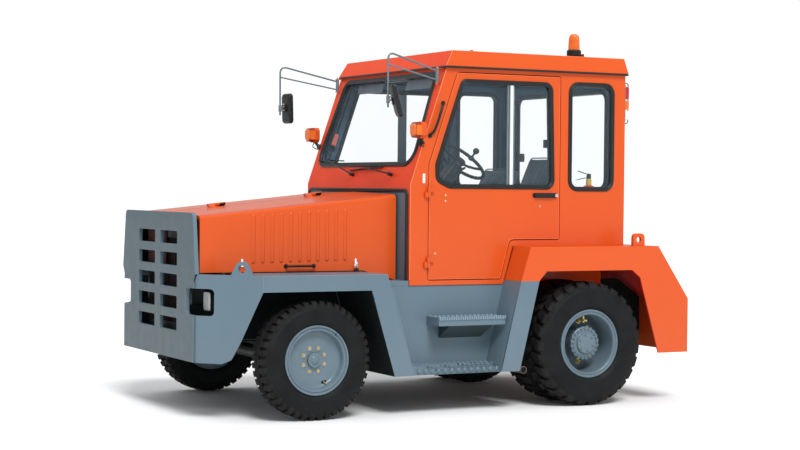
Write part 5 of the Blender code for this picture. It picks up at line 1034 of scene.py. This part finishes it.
STEP_BACK_X = -0.395
DECK_TOP = 1.1023
for name, y, back, drop in (("driver", 0.36, 0.0, 0.0), ("passenger", -0.36, 0.06, 0.075)):
    front = STEP_BACK_X - back
    grooves = [(k - 4) * 0.043 for k in range(9)]
    top = 1.295 - drop / 2
    cushion, fill = pad(f"{name}_cushion", (0.474, 0.46, 0.115),
                        frame_of((front - 0.172, y, top - 0.062), pi / 2 - radians(4)),
                        "vehicle", grooves)
    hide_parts(f"{name}_seat")
    low, high = vec(front - 0.392, y, 1.275 - drop / 2), vec(front - 0.548, y, 1.662 - drop)
    lean = math.atan2(low.x - high.x, high.z - low.z)
    rest, fill = pad(f"{name}_backrest", (0.466, (high - low).length, 0.085), frame_of((low + high) / 2, lean),
                     "vehicle",
                     grooves, round_by=0.04, taper=0.1)
    mesh = bmesh.new()
    for across in (-0.17, 0.17):
        block(mesh, (front - 0.4, y + across - 0.016, DECK_TOP + 0.001),
              (front - 0.03, y + across + 0.016, DECK_TOP + 0.02), 1)
        block(mesh, (front - 0.37, y + across - 0.01, DECK_TOP + 0.018),
              (front - 0.06, y + across + 0.01, DECK_TOP + 0.032), 1)
    rings = []
    for z, grow in ((0.03, 1.0), (0.036, 0.95), (0.046, 1.0), (0.052, 0.95), (0.062, 1.0), (0.068, 0.95), (0.078, 1.0),
                    (0.1 - drop / 2, 1.06)):
        outline = rounded(rectangle((-0.165 * grow, -0.195 * grow), (0.165 * grow, 0.195 * grow)), 0.02, 3)
        rings.append([(front - 0.215 + a, y + b, DECK_TOP + z) for a, b in outline])
    skin(mesh, rings)
    for across in (-0.215, 0.215):
        rod(mesh, (low.x - 0.02, y + across, low.z - 0.035),
            (low.x - 0.02, y + across + math.copysign(0.018, across), low.z - 0.035), 0.034, 28)
    tube(mesh, bend([(front + 0.035, y - 0.09, top - 0.115), (front + 0.062, y - 0.09, top - 0.115),
                     (front + 0.062, y + 0.09, top - 0.115),
                     (front + 0.035, y + 0.09, top - 0.115)], 0.02), 0.006, 10, index=1)
    finished(f"{name}_seat_base", mesh, (PLASTIC, STEEL_DARK), "vehicle", 0.002)

# Steering wheel with its knob, and the column's shroud and stalk

WHEEL_RADIUS, WHEEL_TILT = 0.19, radians(38)
AXIS = Vector((-sin(WHEEL_TILT), 0, cos(WHEEL_TILT)))
COLUMN_START = vec(0.3, 0.36, 0.977)
WHEEL_CENTRE = COLUMN_START + AXIS * 0.8335
tilt = Matrix.Translation(WHEEL_CENTRE) @ Matrix((AXIS.cross(vec(0, 1, 0)), vec(0, 1, 0), AXIS)).transposed().to_4x4()
mesh = bmesh.new()
steps, grip = 120, []
for k in range(steps):
    c, s = cos(2 * pi * k / steps), sin(2 * pi * k / steps)
    swell = 0.0118 + (0.0009 if k % 5 in (1, 2, 3) else 0.0)
    grip.append([(WHEEL_RADIUS * c + swell * cos(a) * c, WHEEL_RADIUS * s + swell * cos(a) * s, swell * sin(a) * 0.92)
                 for a in (2 * pi * j / 12 for j in range(12))])
skin(mesh, grip, closed=True, caps=False)
for k in range(3):
    angle = 2 * pi * k / 3 + pi / 3
    c, s = cos(angle), sin(angle)
    rings = []
    for t, wide, drop in ((0.028, 0.02, -0.012), (0.08, 0.0155, -0.018), (0.14, 0.013, -0.012), (0.186, 0.015, -0.001)):
        corners = rounded(rectangle((-wide, -0.0038), (wide, 0.0038)), 0.0025, 2)
        rings.append([(t * c - a * s, t * s + a * c, drop + b) for a, b in corners])
    skin(mesh, rings)
lathe(mesh, [(0, -0.024), (0.034, -0.024), (0.041, -0.014), (0.043, 0.002), (0.038, 0.012), (0, 0.012)], 48, (0, 0, 0),
      "z")
lathe(mesh, [(0, 0.011), (0.03, 0.011), (0.029, 0.015), (0.02, 0.0175), (0, 0.0178)], 48, (0, 0, 0), "z", 1)
knob_at = (WHEEL_RADIUS * cos(radians(98)), WHEEL_RADIUS * sin(radians(98)), 0)
lathe(mesh, [(0, 0.01), (0.0075, 0.01), (0.0065, 0.03), (0.009, 0.04), (0.0175, 0.046), (0.0215, 0.056),
             (0.0205, 0.068), (0.014, 0.077), (0, 0.08)],
      28, knob_at, "z")
lathe(mesh, [(0, -0.014), (0.017, -0.014), (0.018, 0.006), (0.014, 0.012), (0, 0.012)], 24, knob_at, "z")
mesh.transform(tilt)
finished("steering_wheel_detail", mesh, (PLASTIC, DASH), "steering_wheel", 0.0006,
         stands_for=("steering_wheel",))
mesh = bmesh.new()
side_axis = AXIS.cross(vec(0, 1, 0))
rings = []
for t, wide, tall in ((0.42, 0.036, 0.036), (0.5, 0.045, 0.05), (0.66, 0.048, 0.054), (0.775, 0.042, 0.046),
                      (0.795, 0.036, 0.038)):
    outline = rounded(rectangle((-wide, -tall), (wide, tall)), 0.018, 4)
    rings.append([COLUMN_START + AXIS * t + vec(0, a, 0) + side_axis * b for a, b in outline])
skin(mesh, rings)


def on_column(along, *aside):
    return COLUMN_START + AXIS * along + Vector(aside)


stalk = [on_column(0.7, 0, 0.04, 0), on_column(0.71, 0.01, 0.11, 0.01), on_column(0.735, 0.015, 0.175, 0.02)]
tube(mesh, bend(stalk, 0.03), 0.0055, 10)
rod(mesh, on_column(0.735, 0.014, 0.165, 0.019), on_column(0.742, 0.016, 0.195, 0.023), 0.009, 14, end_radius=0.007)
rod(mesh, on_column(0.6, 0, -0.045, 0), on_column(0.6, 0, -0.066, 0), 0.013, 20, 1)
bellows = [(0.058 - 0.0022 * k + (0.005 if k % 2 else 0), 0.03 + 0.012 * k) for k in range(9)]
boot = Matrix.Translation(COLUMN_START) @ Matrix((side_axis, vec(0, 1, 0), AXIS)).transposed().to_4x4()
before = len(mesh.verts)
lathe(mesh, bellows + [(0.0325, 0.126), (0.0325, 0.03)], 36, (0, 0, 0), "z")
mesh.verts.ensure_lookup_table()
for vertex in mesh.verts[before:]:
    vertex.co = boot @ vertex.co
finished("column_shroud", mesh, (PLASTIC, ZINC), "vehicle", 0.002)

# Dashboard: binnacle, dials, switches, pedals

finish_node("dashboard", (DASH,), 0.006)
mesh = bmesh.new()
hood = rounded([(0.115, 1.401), (0.3, 1.432), (0.3, 1.47), (0.15, 1.452)], 0.006, 3)
prism(mesh, hood, "y", 0.15, 0.57)
lean_face = vec(0.1, 0, 1.35)
normal = vec(-1, 0, 0.2).normalized()
across = vec(0, 1, 0)
upward = normal.cross(across) * -1


def on_dash(y, rise, ahead=0.0):
    return lean_face + across * y + upward * rise + normal * ahead


for y, r in ((0.23, 0.028), (0.36, 0.04), (0.49, 0.028)):
    for radius, low, high, index in ((r + 0.005, -0.004, 0.009, 0), (r, 0.0088, 0.0098, 3)):
        rod(mesh, on_dash(y, 0.0, low), on_dash(y, 0.0, high), radius, 40, index)
    rod(mesh, on_dash(y, 0.0, 0.0095), on_dash(y, 0.0, 0.0108), r * 0.94, 40, 1)
    for k in range(9):
        angle = radians(-135 + 270 * k / 8)
        a, b = Vector((sin(angle), cos(angle))) * r * 0.86, Vector((sin(angle), cos(angle))) * r * 0.7
        rod(mesh, on_dash(y + a.x, a.y, 0.0112), on_dash(y + b.x, b.y, 0.0112), 0.0009, 6, 2)
    rod(mesh, on_dash(y, 0, 0.0116), on_dash(y - r * 0.55, r * 0.3, 0.0116), 0.0012, 6, 4)
for k in range(6):
    y = 0.1 - 0.055 * k
    block(mesh, on_dash(y - 0.014, -0.02, 0.0) + vec(-0.011, 0, 0), on_dash(y + 0.014, 0.02, 0.0) + vec(0.006, 0, 0), 0)
prism(mesh, rounded([(-0.6, 1.315), (-0.28, 1.315), (-0.28, 1.385), (-0.6, 1.385)], 0.012, 4), "x", 0.092, 0.102, 0)
tube(mesh, bend([(0.13, -0.6, 1.412), (0.1, -0.6, 1.452), (0.1, -0.26, 1.452), (0.13, -0.26, 1.412)], 0.025), 0.009,
     12, index=0)
for y, tall in ((0.16, 0.1), (0.5, 0.09), (0.6, 0.13)):
    rod(mesh, (0.276, y, 1.02), (0.225, y, 0.945), 0.008, 12, 3)
    plate = [(0.236, 0.915), (0.19, 0.965), (0.196, 0.971), (0.243, 0.922)]
    prism(mesh, plate, "y", y - tall * 0.3, y + tall * 0.3, 0)
finished("dash_fittings", mesh, (PLASTIC, UNDERSEAL, WHITE, ZINC, RED_LENS), "vehicle", 0.0012)

# Floor mat, levers, window latches, the box on the right pillar, sun shades and ceiling

mesh = bmesh.new()
prism(mesh, rounded(rectangle((-0.36, -0.66), (0.26, 0.66)), 0.03, 4), "z", 0.8515, 0.8575)
for k in range(29):
    y = -0.63 + 0.045 * k
    prism(mesh, rectangle((-0.34, y - 0.006), (0.24, y + 0.006)), "z", 0.857, 0.8595)
finished("floor_mat", mesh, MAT, "vehicle", 0.001)
mesh = bmesh.new()
for x, y, top, lean in ((-0.32, 0.055, 1.42, 0.1), (-0.36, -0.03, 1.36, 0.04)):
    tube(mesh, bend([(x, y, 1.1), (x, y, 1.24), (x + lean, y, top)], 0.05), 0.0065, 12, index=1)
    lathe(mesh, [(0, -0.012), (0.01, -0.012), (0.019, 0.004), (0.02, 0.02), (0.012, 0.034), (0, 0.037)], 24,
          (x + lean, y, top), "z")
    lathe(mesh, [(0.05, 1.103), (0.046, 1.115), (0.038, 1.113), (0.034, 1.128), (0.026, 1.126), (0.022, 1.142),
                 (0.006, 1.146), (0.006, 1.103)], 32, (x, y, 0), "z")
finished("levers", mesh, (PLASTIC, STEEL), "vehicle")
for side, sign in SIDES:
    mesh = bmesh.new()
    inner = sign * (CAB_Y - CAB_WALL)
    for x, z in ((-0.48, 1.655), (-0.668, 1.752)):
        block(mesh, (x - 0.017, inner - sign * 0.016, z - 0.028), (x + 0.017, inner - sign * 0.003, z + 0.028))
        block(mesh, (x - 0.026, inner - sign * 0.02, z - 0.01), (x + 0.004, inner - sign * 0.014, z + 0.01))
    finished(f"window_latch_{side}", mesh, PLASTIC, f"door_{side}", 0.002)
mesh = bmesh.new()
block(mesh, (-0.03, -0.0345, -0.045), (0.03, 0.0, 0.045))
mesh.transform(Matrix.Translation((0.222, -0.7, 1.79)) @ Matrix.Rotation(radians(-18), 4, "Y"))
finished("pillar_box", mesh, surface("box_salmon", (0.62, 0.17, 0.12), 0.45, vary=0.08, scale=20.0), "vehicle",
         bevel=0.006)
mesh = bmesh.new()
shade = [(0.1, 2.195), (0.13, 2.12), (0.136, 2.122), (0.108, 2.205)]
for y in (0.36, -0.36):
    prism(mesh, [(a - 0.02, b - 0.01) for a, b in shade], "y", y - 0.19, y + 0.19)
finished("sun_shades", mesh, VINYL, "vehicle", 0.002)
mesh = bmesh.new()
for sign in (1, -1):
    block(mesh, (CAB_REAR_X + 0.05, sign * 0.7 - 0.012, 2.218), (0.05, sign * 0.7 + 0.012, 2.2335))
prism(mesh, rounded(rectangle((CAB_REAR_X + 0.06, -0.67), (0.03, 0.67)), 0.04, 4), "z", 2.2305, 2.2345)
lathe(mesh, [(0, 2.214), (0.045, 2.216), (0.055, 2.222), (0.055, 2.2315), (0, 2.2315)], 32, (-0.55, 0, 0), "z", 1)
finished("ceiling", mesh, (INSIDE, WHITE), "vehicle", bevel=0.002)

# Fire extinguisher: bottle, bands, valve and levers

mesh = bmesh.new()
BOTTLE = vec(CAB_REAR_X + 0.176, 0.6, 0)
z0 = DECK_TOP + 0.0008
profile = [(0, z0), (0.05, z0), (0.0585, z0 + 0.008), (0.0585, z0 + 0.335), (0.052, z0 + 0.352), (0.036, z0 + 0.366),
           (0.0205, z0 + 0.374), (0, z0 + 0.374)]
lathe(mesh, profile, 48, BOTTLE, "z")
lathe(mesh, [(0, z0 + 0.373), (0.0188, z0 + 0.373), (0.018, z0 + 0.418), (0, z0 + 0.418)], 32, BOTTLE, "z", 1)
lathe(mesh, [(0, z0 + 0.417), (0.0145, z0 + 0.417), (0.0155, z0 + 0.425), (0.015, z0 + 0.448), (0.01, z0 + 0.4535),
             (0, z0 + 0.4535)], 28, BOTTLE, "z", 2)
top = BOTTLE + vec(0, 0, z0 + 0.44)
for rise, reach, tip in ((0.008, 0.095, 0.022), (-0.012, 0.105, -0.018)):
    path = bend([top + vec(-0.012, 0, rise), top + vec(0.03, 0.006, rise + tip * 0.2),
                 top + vec(reach, 0.012, rise + tip)], 0.03, 5)
    sweep(mesh, path, [(-0.008, -0.0018), (0.008, -0.0018), (0.008, 0.0018), (-0.008, 0.0018)], up=(0, 0, 1), index=2)
rod(mesh, top + vec(-0.004, -0.013, -0.006), top + vec(-0.004, -0.03, -0.006), 0.006, 14, 3)
for z in (0.1, 0.26):
    lathe(mesh, [(0.0588, z0 + z - 0.01), (0.0602, z0 + z - 0.01), (0.0602, z0 + z + 0.01), (0.0588, z0 + z + 0.01)],
          40, BOTTLE, "z", 2)
finished("extinguisher_detail", mesh, (RED, YELLOW, PLASTIC, BRASS), "vehicle", 0.0008,
         stands_for=("fire_extinguisher",))

# Radiator behind the nose: tanks, side plates and a finned core

mesh = bmesh.new()
low, high = vec(1.67, -0.398, 0.5003), vec(1.75, 0.398, 1.19)
block(mesh, (low.x + 0.004, low.y + 0.028, low.z + 0.06), (high.x - 0.022, high.y - 0.028, high.z - 0.075), 1)
for a, b in ((low.z, low.z + 0.065), (high.z - 0.08, high.z)):
    block(mesh, (low.x, low.y, a), (high.x, high.y, b), 0)
for sign in (1, -1):
    ends = sorted((sign * 0.398, sign * 0.366))
    block(mesh, (low.x, ends[0], low.z + 0.05), (high.x - 0.004, ends[1], high.z - 0.06), 0)
for k in range(24):
    y = -0.352 + 0.704 * k / 23
    block(mesh, (high.x - 0.024, y - 0.004, low.z + 0.06), (high.x - 0.01, y + 0.004, high.z - 0.078), 1)
for k in range(64):
    z = low.z + 0.068 + (high.z - low.z - 0.15) * k / 63
    block(mesh, (high.x - 0.023, low.y + 0.03, z - 0.0009), (high.x - 0.012, high.y - 0.03, z + 0.0009), 2)
lathe(mesh, [(0, 1.188), (0.03, 1.188), (0.03, 1.2), (0.036, 1.203), (0.036, 1.212), (0, 1.214)], 32, (1.705, 0.18, 0),
      "z", 3)
RUSTED = surface("radiator_side", (0.085, 0.022, 0.018), 0.65, vary=0.3, scale=8.0, grain=0.4, grain_scale=200.0)
finished("radiator_detail", mesh, (STEEL_DARK, CORE, RUSTED, BRASS), "vehicle", 0.001,
         stands_for=("radiator",))
mesh = bmesh.new()
for row in range(5):
    top = 1.16 - row * 0.1365
    if row > 1:
        plate = [(-0.175, top + 0.006), (-0.04, top + 0.006), (-0.04, top - 0.086), (-0.075, top - 0.086)]
        prism(mesh, plate, "x", 1.782, 1.788, 0)
    if row < 2:
        prism(mesh, rectangle((-0.358, top - 0.09), (-0.036, top + 0.008)), "x", 1.752, 1.758, 1)
        for k in range(9):
            z = top - 0.085 + 0.0115 * k
            prism(mesh, rectangle((-0.352, z - 0.0016), (-0.042, z + 0.0016)), "x", 1.757, 1.764, 1)
finished("nose_backing", mesh, (GREY, RUSTED), "vehicle", bevel=0.001)

# Exhaust: silencer with seams and straps, and the open tail pipe

mesh = bmesh.new()
SILENCER = (0, 0.575, 0.44)
profile = [(0, -0.2185), (0.03, -0.2185), (0.034, -0.212), (0.074, -0.206), (0.0845, -0.198), (0.0845, -0.192),
           (0.0815, -0.188), (0.0815, -0.03), (0.084, -0.026), (0.084, -0.014), (0.0815, -0.01), (0.0815, 0.336),
           (0.0845, 0.342), (0.0845, 0.352), (0.074, 0.36), (0.034, 0.3655), (0.03, 0.3695), (0, 0.3695)]
lathe(mesh, profile, 48, SILENCER, "x")
tail = bend([(-0.21, 0.575, 0.44), (-0.33, 0.575, 0.44), (-0.395, 0.6, 0.33), (-0.405, 0.66, 0.25),
             (-0.405, 0.885, 0.25)], 0.06, 8)
tube(mesh, tail, 0.0235, 28, index=1)
lathe(mesh, [(0.0205, 0.8), (0.0235, 0.8), (0.024, 0.8985), (0.0205, 0.8985)], 36, (-0.405, 0, 0.25), "y", 1)
lathe(mesh, [(0, 0.886), (0.02, 0.886), (0.02, 0.888), (0, 0.888)], 28, (-0.405, 0, 0.25), "y", 2)
for x in (-0.1, 0.24):
    lathe(mesh, [(0.0818, x - 0.014), (0.0842, x - 0.014), (0.0842, x + 0.014), (0.0818, x + 0.014)], 48, SILENCER,
          "x", 2)
tube(mesh, bend([(0.36, 0.575, 0.44), (0.42, 0.575, 0.44), (0.46, 0.5, 0.46), (0.52, 0.462, 0.5)], 0.04), 0.022, 20,
     index=1)
finished("exhaust_detail", mesh, (STEEL_DARK, RUST, UNDERSEAL), "vehicle", 0.0008,
         stands_for=("exhaust",))

# Steps: gripping teeth, raised dimples; small bolts on the nose; the rear plate and its coupling

for side, sign in SIDES:
    mesh = bmesh.new()
    edge = sign * 0.93
    for k in range(30):
        x = -0.232 + 0.486 * k / 29
        tooth = [(x - 0.0075, edge), (x + 0.0075, edge), (x + 0.0035, edge + sign * 0.01),
                 (x - 0.0035, edge + sign * 0.01)]
        prism(mesh, tooth, "z", 0.598, 0.6195)
    for row in range(5):
        for k in range(15):
            x = -0.215 + 0.0325 * k + (0.016 if row % 2 else 0)
            if x < 0.245:
                lathe(mesh, [(0, 0.6145), (0.0085, 0.6145), (0.0065, 0.618), (0.003, 0.619), (0, 0.619)], 14,
                      (x, sign * (0.785 + 0.03 * row), 0), "z")
    # Teeth and dimples in the lighter grey: a painted highlight on them.
    finished(f"step_grip_{side}", mesh, GREY_HIGHLIGHT, "vehicle")
    mesh = bmesh.new()
    for k in range(13):
        x = -0.15 + 0.048 * k
        face, reach = sign * 0.973, sign * 0.0045
        profile = [(0, face - reach * 0.2), (0.0115, face - reach * 0.2), (0.0105, face + reach * 0.5),
                   (0.006, face + reach), (0, face + reach * 1.05)]
        lathe(mesh, profile, 20, (x, 0, 0.283), "y")
    for row in range(4):
        for k in range(18):
            x = -0.155 + 0.034 * k + (0.017 if row % 2 else 0)
            if x < 0.455:
                lathe(mesh, [(0, 0.3095), (0.0085, 0.3095), (0.0065, 0.313), (0, 0.3138)], 14,
                      (x, sign * (0.81 + 0.042 * row), 0), "z")
    finished(f"step_dimples_{side}", mesh, GREY, "vehicle")

mesh = bmesh.new()
for y in (-0.17, 0.165):
    for z in (0.391, 0.51):
        rod(mesh, (NOSE_X - 0.001, y, z), (NOSE_X - 0.0002, y, z), 0.0085, 20)
        bolt(mesh, (NOSE_X - 0.0035, y, z), (1, 0, 0), 0.0052, 0.003, washer=False, dome=False)
finished("nose_bolts", mesh, UNDERSEAL, "vehicle")

REAR_X = -1.68
mesh = bmesh.new()
for y in (-0.088, 0.088):
    for z in (0.405, 0.475, 0.565, 0.64):
        bolt(mesh, (REAR_X - 0.0203, y, z), (-1, 0, 0), 0.0105, 0.011, washer=True, dome=False)
finished("coupling_bolts", mesh, ZINC, "vehicle", 0.0008)
mesh = bmesh.new()
for y in (-0.55, 0.55):
    prism(mesh, rounded(rectangle((y - 0.26, 0.47), (y + 0.26, 0.59)), 0.01, 3), "x", REAR_X - 0.0035, REAR_X + 0.001)
    for dy in (-0.235, 0.235):
        bolt(mesh, (REAR_X - 0.0033, y + dy, 0.53), (-1, 0, 0), 0.005, 0.003, 1, washer=False, dome=True)
    lathe(mesh, [(0.0, REAR_X - 0.009), (0.024, REAR_X - 0.009), (0.028, REAR_X - 0.006), (0.028, REAR_X + 0.001),
                 (0, REAR_X + 0.001)], 32,
          (0, math.copysign(0.84, y), 0.62), "x", 2)
finished("rear_plates", mesh, (STEEL_DARK, ZINC, RED_LENS), "vehicle", 0.001)

# Roof: a knob near each side edge

mesh = bmesh.new()
profile = [(0, 2.3485), (0.02, 2.3485), (0.019, 2.353), (0.012, 2.36), (0.006, 2.363), (0, 2.3635)]
for y in (0.69, -0.69):
    lathe(mesh, profile, 28, (-0.1, y, 0), "z")
finished("roof_knobs", mesh, ORANGE, "vehicle")

# Folded edges: a fine bead in the lighter orange, a painted highlight, down the cab's front corners and round the doors

for side, sign in SIDES:
    mesh = bmesh.new()
    path = [(CAB_FRONT_X - 0.0012, sign * (CAB_Y - 0.0012), 0.85),
            (CAB_FRONT_X - 0.0012, sign * (CAB_Y - 0.0012), FOLD_Z),
            tuple(on_lean(sign * (CAB_Y - 0.0012), 2.225) - vec(0.0012, 0, 0))]
    tube(mesh, path, 0.003, 10)
    finished(f"corner_highlight_bead_{side}", mesh, ORANGE_HIGHLIGHT, "vehicle")
    mesh = bmesh.new()
    outline = rounded([(0.255, 0.851), (0.255, 1.6), (0.049, 2.203), (-0.752, 2.203), (-0.752, 1.11), (-0.361, 1.11),
                       (-0.292, 0.851)], 0.006, 2)
    path = [(x, sign * (CAB_Y - 0.0012), z) for x, z in grown(outline, -0.0026)]
    tube(mesh, path, 0.0019, 8, closed=True)
    finished(f"door_edge_highlight_{side}", mesh, ORANGE_HIGHLIGHT, f"door_{side}")
    mesh = bmesh.new()
    tube(mesh, [(x, sign * (CAB_Y - 0.0345), z) for x, z in grown(outline, 0.004)], 0.0065, 8, closed=True)
    finished(f"door_seal_{side}", mesh, SEAL, "vehicle")

# Engine bay: what shows when the hood is up

mesh = bmesh.new()
cover = rounded(rectangle((0.86, -0.085), (1.42, 0.085)), 0.03, 5)
skin(mesh, [[(1.14 + (x - 1.14) * s, y * s, z) for x, y in cover] for z,
            s in ((1.1195, 1.0), (1.15, 1.0), (1.163, 0.96), (1.166, 0.86))])
for k in range(6):
    x = 0.9 + 0.096 * k
    for y in (-0.07, 0.07):
        bolt(mesh, (x, y, 1.163), (0, 0, 1), 0.006, 0.006, 1, washer=True, dome=False)
lathe(mesh, [(0, 1.164), (0.026, 1.164), (0.026, 1.172), (0.022, 1.176), (0.022, 1.186), (0.012, 1.19), (0, 1.19)], 24,
      (1.3, 0.0, 0), "z", 2)
for k in range(12):
    x = 0.84 + 0.054 * k
    for sign in (1, -1):
        ends = sorted((sign * 0.2495, sign * 0.262))
        block(mesh, (x - 0.004, ends[0], 0.58), (x + 0.004, ends[1], 1.02))
for k in range(4):
    x = 0.9 + 0.15 * k
    tube(mesh, bend([(x, 0.24, 1.04), (x, 0.33, 1.04), (x - 0.02, 0.335, 0.97)], 0.04), 0.022, 16, index=3)
tube(mesh, bend([(1.44, 0.335, 0.965), (0.8, 0.335, 0.965), (0.74, 0.335, 0.9), (0.66, 0.335, 0.8)], 0.06), 0.03, 20,
     index=3)
for k in range(4):
    x = 0.9 + 0.15 * k
    tube(mesh, bend([(x, -0.24, 1.05), (x, -0.32, 1.05)], 0.04), 0.024, 16)
rod(mesh, (0.84, -0.335, 1.05), (1.44, -0.335, 1.05), 0.034, 24)
finished("engine_top", mesh, (STEEL_DARK, ZINC, PLASTIC, RUST), "vehicle", 0.001)
mesh = bmesh.new()
profile = [(0, -0.15), (0.07, -0.15), (0.078, -0.142), (0.078, 0.11), (0.082, 0.112), (0.082, 0.122), (0.078, 0.124),
           (0.078, 0.14), (0.07, 0.15), (0, 0.15)]
lathe(mesh, profile, 40, (0.62, -0.2, 1.06), "x")
for x in (0.54, 0.7):
    prism(mesh, [(-0.27, 0.69), (-0.13, 0.69), (-0.16, 1.0), (-0.24, 1.0)], "x", x - 0.004, x + 0.004, 1)
tube(mesh, bend([(0.76, -0.2, 1.06), (0.83, -0.2, 1.06), (0.86, -0.3, 1.055), (0.87, -0.33, 1.05)], 0.04), 0.03, 18,
     index=2)
block(mesh, (0.44, 0.14, 0.741), (0.66, 0.36, 0.76), 1)
block(mesh, (0.45, 0.15, 0.7595), (0.65, 0.35, 0.945), 2)
block(mesh, (0.447, 0.147, 0.945), (0.653, 0.353, 0.965), 2)
for k in range(6):
    rod(mesh, (0.475 + 0.03 * k, 0.25, 0.964), (0.475 + 0.03 * k, 0.25, 0.972), 0.009, 16, 2)
for y in (0.18, 0.32):
    rod(mesh, (0.475, y, 0.964), (0.475, y, 0.984), 0.009, 16, 3)
finished("air_cleaner_battery", mesh, (STEEL_DARK, UNDERSEAL, PLASTIC, ZINC), "vehicle", 0.003)
mesh = bmesh.new()
tube(mesh, bend([(1.672, 0.1, 1.145), (1.6, 0.1, 1.145), (1.55, 0.06, 1.1), (1.5, 0.05, 1.1)], 0.03), 0.024, 18,
     index=1)
tube(mesh, bend([(1.672, -0.2, 0.56), (1.6, -0.2, 0.56), (1.55, -0.12, 0.62), (1.515, -0.1, 0.64)], 0.03), 0.024, 18,
     index=1)
rod(mesh, (1.52, 0, 0.86), (1.6, 0, 0.86), 0.04, 28)
for k in range(6):
    spin = Matrix.Translation((1.585, 0, 0.86)) @ Matrix.Rotation(2 * pi * k / 6, 4,
                                                                  "X") @ Matrix.Rotation(radians(28), 4, "Z")
    rings = []
    for r, wide in ((0.03, 0.028), (0.1, 0.042), (0.2, 0.05)):
        rings.append([spin @ vec(b, a, r) for a, b in rectangle((-wide, -0.0015), (wide, 0.0015))])
    skin(mesh, rings, index=2)
for low, high, r, place in ((1.531, 1.552, 0.075, (0, 0.66)), (1.531, 1.552, 0.045, (0.17, 0.93)),
                            (1.531, 1.552, 0.055, (0, 0.86))):
    lathe(mesh, [(0, low), (r, low), (r * 0.9, (low + high) / 2), (r, high), (0, high)], 32, (0, place[0], place[1]),
          "x")
lathe(mesh, [(0, 1.4), (0.055, 1.4), (0.065, 1.415), (0.065, 1.505), (0.055, 1.52), (0.02, 1.525), (0.02, 1.535),
             (0, 1.535)], 32, (0, 0.31, 0.93), "x", 3)
finished("fan_and_hoses", mesh, (STEEL_DARK, PLASTIC, YELLOW, STEEL), "vehicle", 0.001)


# Stage: pale floor, soft light and the camera

SKY_LIGHT, SKY_SEEN = 0.6, 1.08
FLOOR_SIZE, FLOOR_DROP = 60.0, 0.0015
CAMERA_AT, LENS_MM, SENSOR_MM = (5.833, 10.729, 1.454), 79.12, 36
SHIFT_X, SHIFT_Y = 0.0247, -0.0131
CAMERA_TURNS = (0.483, 0.016, 0.01)
# Name, direction towards the light, how wide it is in degrees, strength
LIGHTS = (("key", (0.16, 0.8, 0.95), 22.0, 2.5), ("top", (0.25, -0.3, 1.0), 60.0, 0.5))


def stage():
    mesh = bmesh.new()
    bmesh.ops.create_grid(mesh, x_segments=1, y_segments=1, size=FLOOR_SIZE)
    data = bpy.data.meshes.new("floor")
    mesh.to_mesh(data)
    mesh.free()
    floor = bpy.data.objects.new("floor", data)
    floor.location.z = -FLOOR_DROP
    bpy.context.scene.collection.objects.link(floor)
    data.materials.append(surface("floor_pale", (0.94, 0.94, 0.94), 0.85, vary=0.004, scale=0.5, gloss=0.05))
    world = bpy.data.worlds.new("studio")
    bpy.context.scene.world = world
    world.use_nodes = True
    tree = world.node_tree
    sky = tree.nodes["Background"]
    sky.inputs["Color"].default_value = (0.965, 0.985, 1.0, 1)
    seen = tree.nodes.new("ShaderNodeLightPath")
    strength = tree.nodes.new("ShaderNodeMapRange")
    strength.inputs["To Min"].default_value = SKY_LIGHT
    strength.inputs["To Max"].default_value = SKY_SEEN
    tree.links.new(seen.outputs["Is Camera Ray"], strength.inputs["Value"])
    tree.links.new(strength.outputs["Result"], sky.inputs["Strength"])
    for name, aim, angle, power in LIGHTS:
        data = bpy.data.lights.new(name, "SUN")
        data.energy = power
        data.angle = radians(angle)
        lamp = bpy.data.objects.new(name, data)
        lamp.rotation_euler = (-Vector(aim)).to_track_quat("-Z", "Y").to_euler()
        bpy.context.scene.collection.objects.link(lamp)


def camera():
    """The photograph's place and direction: yaw, a small tilt down and a small roll, in radians."""
    yaw, pitch, roll = CAMERA_TURNS
    forward = Vector((-sin(yaw) * cos(pitch), -cos(yaw) * cos(pitch), -sin(pitch)))
    right = Vector((-cos(yaw), sin(yaw), 0))
    above = right.cross(forward)
    across = right * cos(roll) + above * sin(roll)
    above = above * cos(roll) - right * sin(roll)
    turn = Matrix((across, above, -forward)).transposed()
    data = bpy.data.cameras.new("camera")
    data.lens = LENS_MM
    data.sensor_width = SENSOR_MM
    data.shift_x = SHIFT_X
    data.shift_y = SHIFT_Y
    data.clip_end = 200
    made = bpy.data.objects.new("camera", data)
    made.matrix_world = Matrix.Translation(CAMERA_AT) @ turn.to_4x4()
    bpy.context.scene.collection.objects.link(made)
    bpy.context.scene.camera = made


stage()
camera()
bpy.context.scene.view_settings.view_transform = "Standard"

low, high = CAD_BOX
